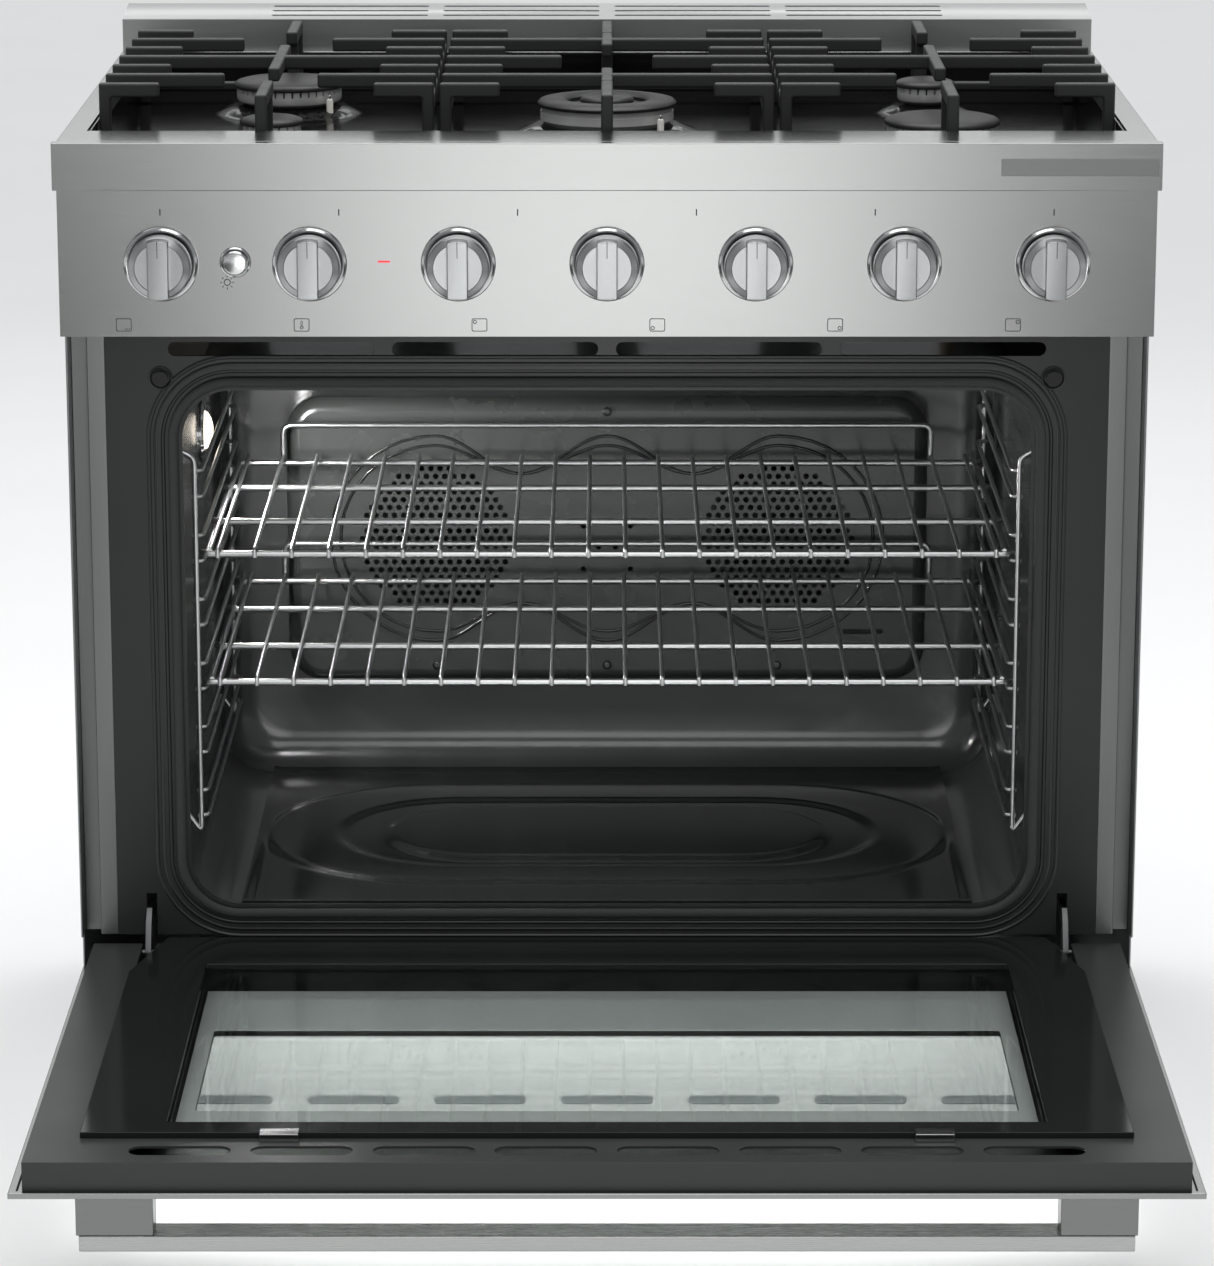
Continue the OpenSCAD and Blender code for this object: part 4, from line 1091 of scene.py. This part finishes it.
def loop(bm, width, height, radius, y, thick, squeeze):
    """A closed tube around the opening, squeezed from front to back."""
    outline = box_outline(0, seal_z, width, height, radius, 12)
    rings = []
    for i, (x, z) in enumerate(outline):
        before, after = outline[i - 1], outline[(i + 1) % len(outline)]
        along = Vector((after[0] - before[0], 0, after[1] - before[1])).normalized()
        out = Vector((along.z, 0, -along.x))
        deep = Vector((0, squeeze, 0))
        spot = Vector((x, y, z))
        rings.append([bm.verts.new(spot + (out * c + deep * s) * thick) for c, s in round_points(10)])
    bridge(bm, rings + rings[:1])


bm = bmesh.new()
loop(bm, outer_w - 9 * MM, outer_h - 9 * MM, outer_r - 4.5 * MM, (lo.y + hi.y) / 2, 4.3 * MM, 0.68)
finish_piece(from_bmesh("seal_tube", bm, 60), "door_gasket", "seal_braid")
bm = bmesh.new()
for grow, thick in ((9 * MM, 1.9 * MM), (20 * MM, 2.4 * MM), (33 * MM, 1.9 * MM)):
    loop(bm, outer_w + grow, outer_h + grow, outer_r + grow / 2, frame_face + 0.3 * MM, thick, 0.85)
finish_piece(from_bmesh("frame_ridges", bm, 60), "front_frame", "frame_enamel", replace=False)

bm = bmesh.new()
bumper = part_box("frame_bumpers")
spot_z = (bumper[0].z + bumper[1].z) / 2
bumper_ring = in_mm((7.5, 0), (10.5, 0), (10.2, 1.6), (9, 2.2), (7.8, 1.6))
for side in (-1, 1):
    spot = (side * (bumper[1].x - 6.5 * MM), frame_face + 0.2 * MM, spot_z)
    lathe(bm, bumper_ring, spot, "front", 48, closed=True)
finish_piece(from_bmesh("bumper_rings", bm, 40), "front_frame", "frame_enamel", replace=False)
print("seal", round(outer_w, 3), round(outer_h, 3))

# %% [markdown]
# The inner glass of the door is black around its edge and clear in the middle. The black is a fired
# enamel border, so it is made as a plate with a window cut in it. The clear middle is a thin pane of
# its own, with the same glass finish as the panes below it.

# %% Door glass
lo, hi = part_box("door_inner_glass")
GLASS_CUT_X, GLASS_CUT_Y = 25 * MM, 95 * MM
back, front = hi.y, lo.y
WINDOW_X = 340 * MM
window_back, window_front = back - 75 * MM, front + 24 * MM
outline = [(lo.x, front), (hi.x, front), (hi.x, back - GLASS_CUT_Y), (hi.x - GLASS_CUT_X, back),
           (lo.x + GLASS_CUT_X, back), (lo.x, back - GLASS_CUT_Y)]
window_y, window_d = (window_back + window_front) / 2, window_back - window_front
window = box_outline(0, window_y, 2 * WINDOW_X, window_d, 3 * MM)
thick, level = hi.z - lo.z, (lo.z + hi.z) / 2
border = punched("glass_border_plate", [outline, window], thick, level, flat=True)
with reshaping(border) as bm:
    rim = [e for e in bm.edges if len(e.link_faces) == 2 and e.calc_face_angle(0) > 1.0
           and abs(e.verts[0].co.z - e.verts[1].co.z) < 0.1 * MM]
    bmesh.ops.bevel(bm, geom=rim, offset=0.6 * MM, segments=1, affect="EDGES")
shade(border, 20)
finish_piece(border, "door_inner_glass", "glass_border")
PANE_GAP = 0.4 * MM
clear = box_outline(0, window_y, 2 * WINDOW_X - PANE_GAP, window_d - PANE_GAP, 2.8 * MM)
pane = punched("glass_clear_pane", [clear], thick * 0.8, level + 0.4 * MM, flat=True)
finish_piece(pane, "door_inner_glass", "clear_glass", replace=False)
# the pale sheet inside the door, around the outer window: a matt grey in place of the door's steel skin, painted
# light so that it reads as lit steel
sheet_lo, sheet_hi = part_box("door_middle_glass")
screen_lo, screen_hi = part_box("door_window")
SCREEN_LAP = 12 * MM
held_w, held_y = sheet_hi.x - 1 * MM, (sheet_lo.y + sheet_hi.y) / 2
held = box_outline(0, held_y, 2 * held_w, sheet_hi.y - sheet_lo.y - 22 * MM)
screen_y, screen_d = (screen_lo.y + screen_hi.y) / 2, screen_hi.y - screen_lo.y - 2 * SCREEN_LAP
screen = box_outline(0, screen_y, 2 * (screen_hi.x - SCREEN_LAP), screen_d, 4 * MM)
inner = punched("door_inner_sheet", [held, screen], 0.8 * MM, screen_hi.z + 0.6 * MM, flat=True)
finish_piece(inner, "door_skin", "door_sheet", replace=False)
print("glass window", round(2 * WINDOW_X, 3), round(window_d, 3))

# %% [markdown]
# The rear cover is screwed on all round. Each screw is a pan head with a cross recess, drawn as a low
# dome with a sunk middle.

# %% Cover screws
lo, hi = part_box("rear_cover")
bm = bmesh.new()
inset = 12 * MM
columns = np.linspace(lo.x + inset, hi.x - inset, 6)
levels = np.linspace(lo.z + inset, hi.z - inset, 6)
places = [(x, z) for x in columns for z in (levels[0], levels[-1])]
places += [(x, z) for x in (columns[0], columns[-1]) for z in levels[1:-1]]
head = in_mm((0, 1), (4, 1), (4, -0.6), (3, -1.6), (1.4, -1.9), (0.9, -0.9), (0, -0.9))
for x, z in places:
    lathe(bm, head, (x, hi.y - 1.9 * MM, z), "front", 20)
finish_piece(from_bmesh("cover_screws", bm), "rear_cover", "hinge_steel", replace=False)
print("screws", len(places))

# %% [markdown]
# The range stands on a plain pale sweep, lit like a product: a broad soft light in front gives the
# steel its bright middle and darker ends, two tall strips graze the sides, and a top light draws
# the edges of the grates and the hob.

# %% Floor and lights
def area_light(name, spot, target, width, height, power, spread=180):
    data = bpy.data.lights.new(name, "AREA")
    data.shape = "RECTANGLE"
    data.size = width
    data.size_y = height
    data.energy = power
    data.spread = math.radians(spread)
    light = bpy.data.objects.new(name, data)
    light.visible_camera = False
    light.location = spot
    light.rotation_euler = (Vector(target) - Vector(spot)).to_track_quat("-Z", "Y").to_euler()
    bpy.context.scene.collection.objects.link(light)


def floor_finish():
    finish = Finish("floor_paint", (0.86, 0.86, 0.86), Roughness=0.7)
    cloud = finish.noise(3.0, detail=2.0)
    finish.into("Base Color", finish.blend(cloud, (0.84, 0.84, 0.84), (0.88, 0.88, 0.88)))
    return finish.material


floor_mesh = bpy.data.meshes.new("floor")
reach = 30.0
floor_mesh.from_pydata([(-reach, -reach, 0), (reach, -reach, 0), (reach, reach, 0), (-reach, reach, 0)], [],
                       [(0, 1, 2, 3)])
floor_mesh.materials.append(floor_finish())
add_object("floor", floor_mesh)

world = bpy.data.worlds.new("studio")
world.use_nodes = True
world.node_tree.nodes["Background"].inputs["Color"].default_value = (0.95, 0.97, 1.0, 1.0)
world.node_tree.nodes["Background"].inputs["Strength"].default_value = 0.32
bpy.context.scene.world = world
area_light("front_low", (0.0, -3.3, 0.40), (0, 0, 0.75), 0.9, 0.9, 6.4)
area_light("front_soft", (0.0, -3.4, 2.4), (0, 0, 0.5), 1.2, 1.2, 14)
area_light("left_strip", (-2.6, -1.2, 1.3), (0, 0, 0.6), 0.4, 2.0, 3)
area_light("right_strip", (2.6, -1.2, 1.3), (0, 0, 0.6), 0.4, 2.0, 3)
for name, near, far in (("card_left", -3.2, -0.62), ("card_right", 0.62, 3.2)):
    card_mesh = bpy.data.meshes.new(name)
    corners = [(near, -6.0, 0.02), (far, -6.0, 0.02), (far, -1.5, 0.02), (near, -1.5, 0.02)]
    card_mesh.from_pydata(corners, [], [(0, 1, 2, 3)])
    card_mesh.materials.append(FINISHES["bumper_rubber"])
    card = add_object(name, card_mesh)
    card.visible_camera = card.visible_diffuse = card.visible_shadow = False
area_light("top_soft", (0.0, 0.9, 2.8), (0, 0.1, 0.9), 2.0, 1.0, 30)
area_light("under_door", (0.0, -0.50, 0.02), (0, -0.05, 0.13), 0.8, 0.1, 0.9, 100)
area_light("under_range", (0.0, 0.1, 0.055), (0, 0.1, 0), 0.84, 0.6, 3.0)
area_light("back_wall", (0.0, 3.6, 2.0), (0, 0, 0.9), 2.6, 1.1, 10)
area_light("oven_light", (wall_x + 0.03, lamp_y, lamp_z), (0.1, lamp_y, lamp_z - 0.1), 0.05, 0.05, 2.0)
sky = bpy.data.lights.new("sky", "SUN")
sky.energy = 1.8
sky.angle = math.radians(70)
sky_light = bpy.data.objects.new("sky", sky)
sky_light.rotation_euler = (math.radians(12), 0, 0)
bpy.context.scene.collection.objects.link(sky_light)
bpy.context.scene.view_settings.view_transform = "Standard"

# %% Finish
import json
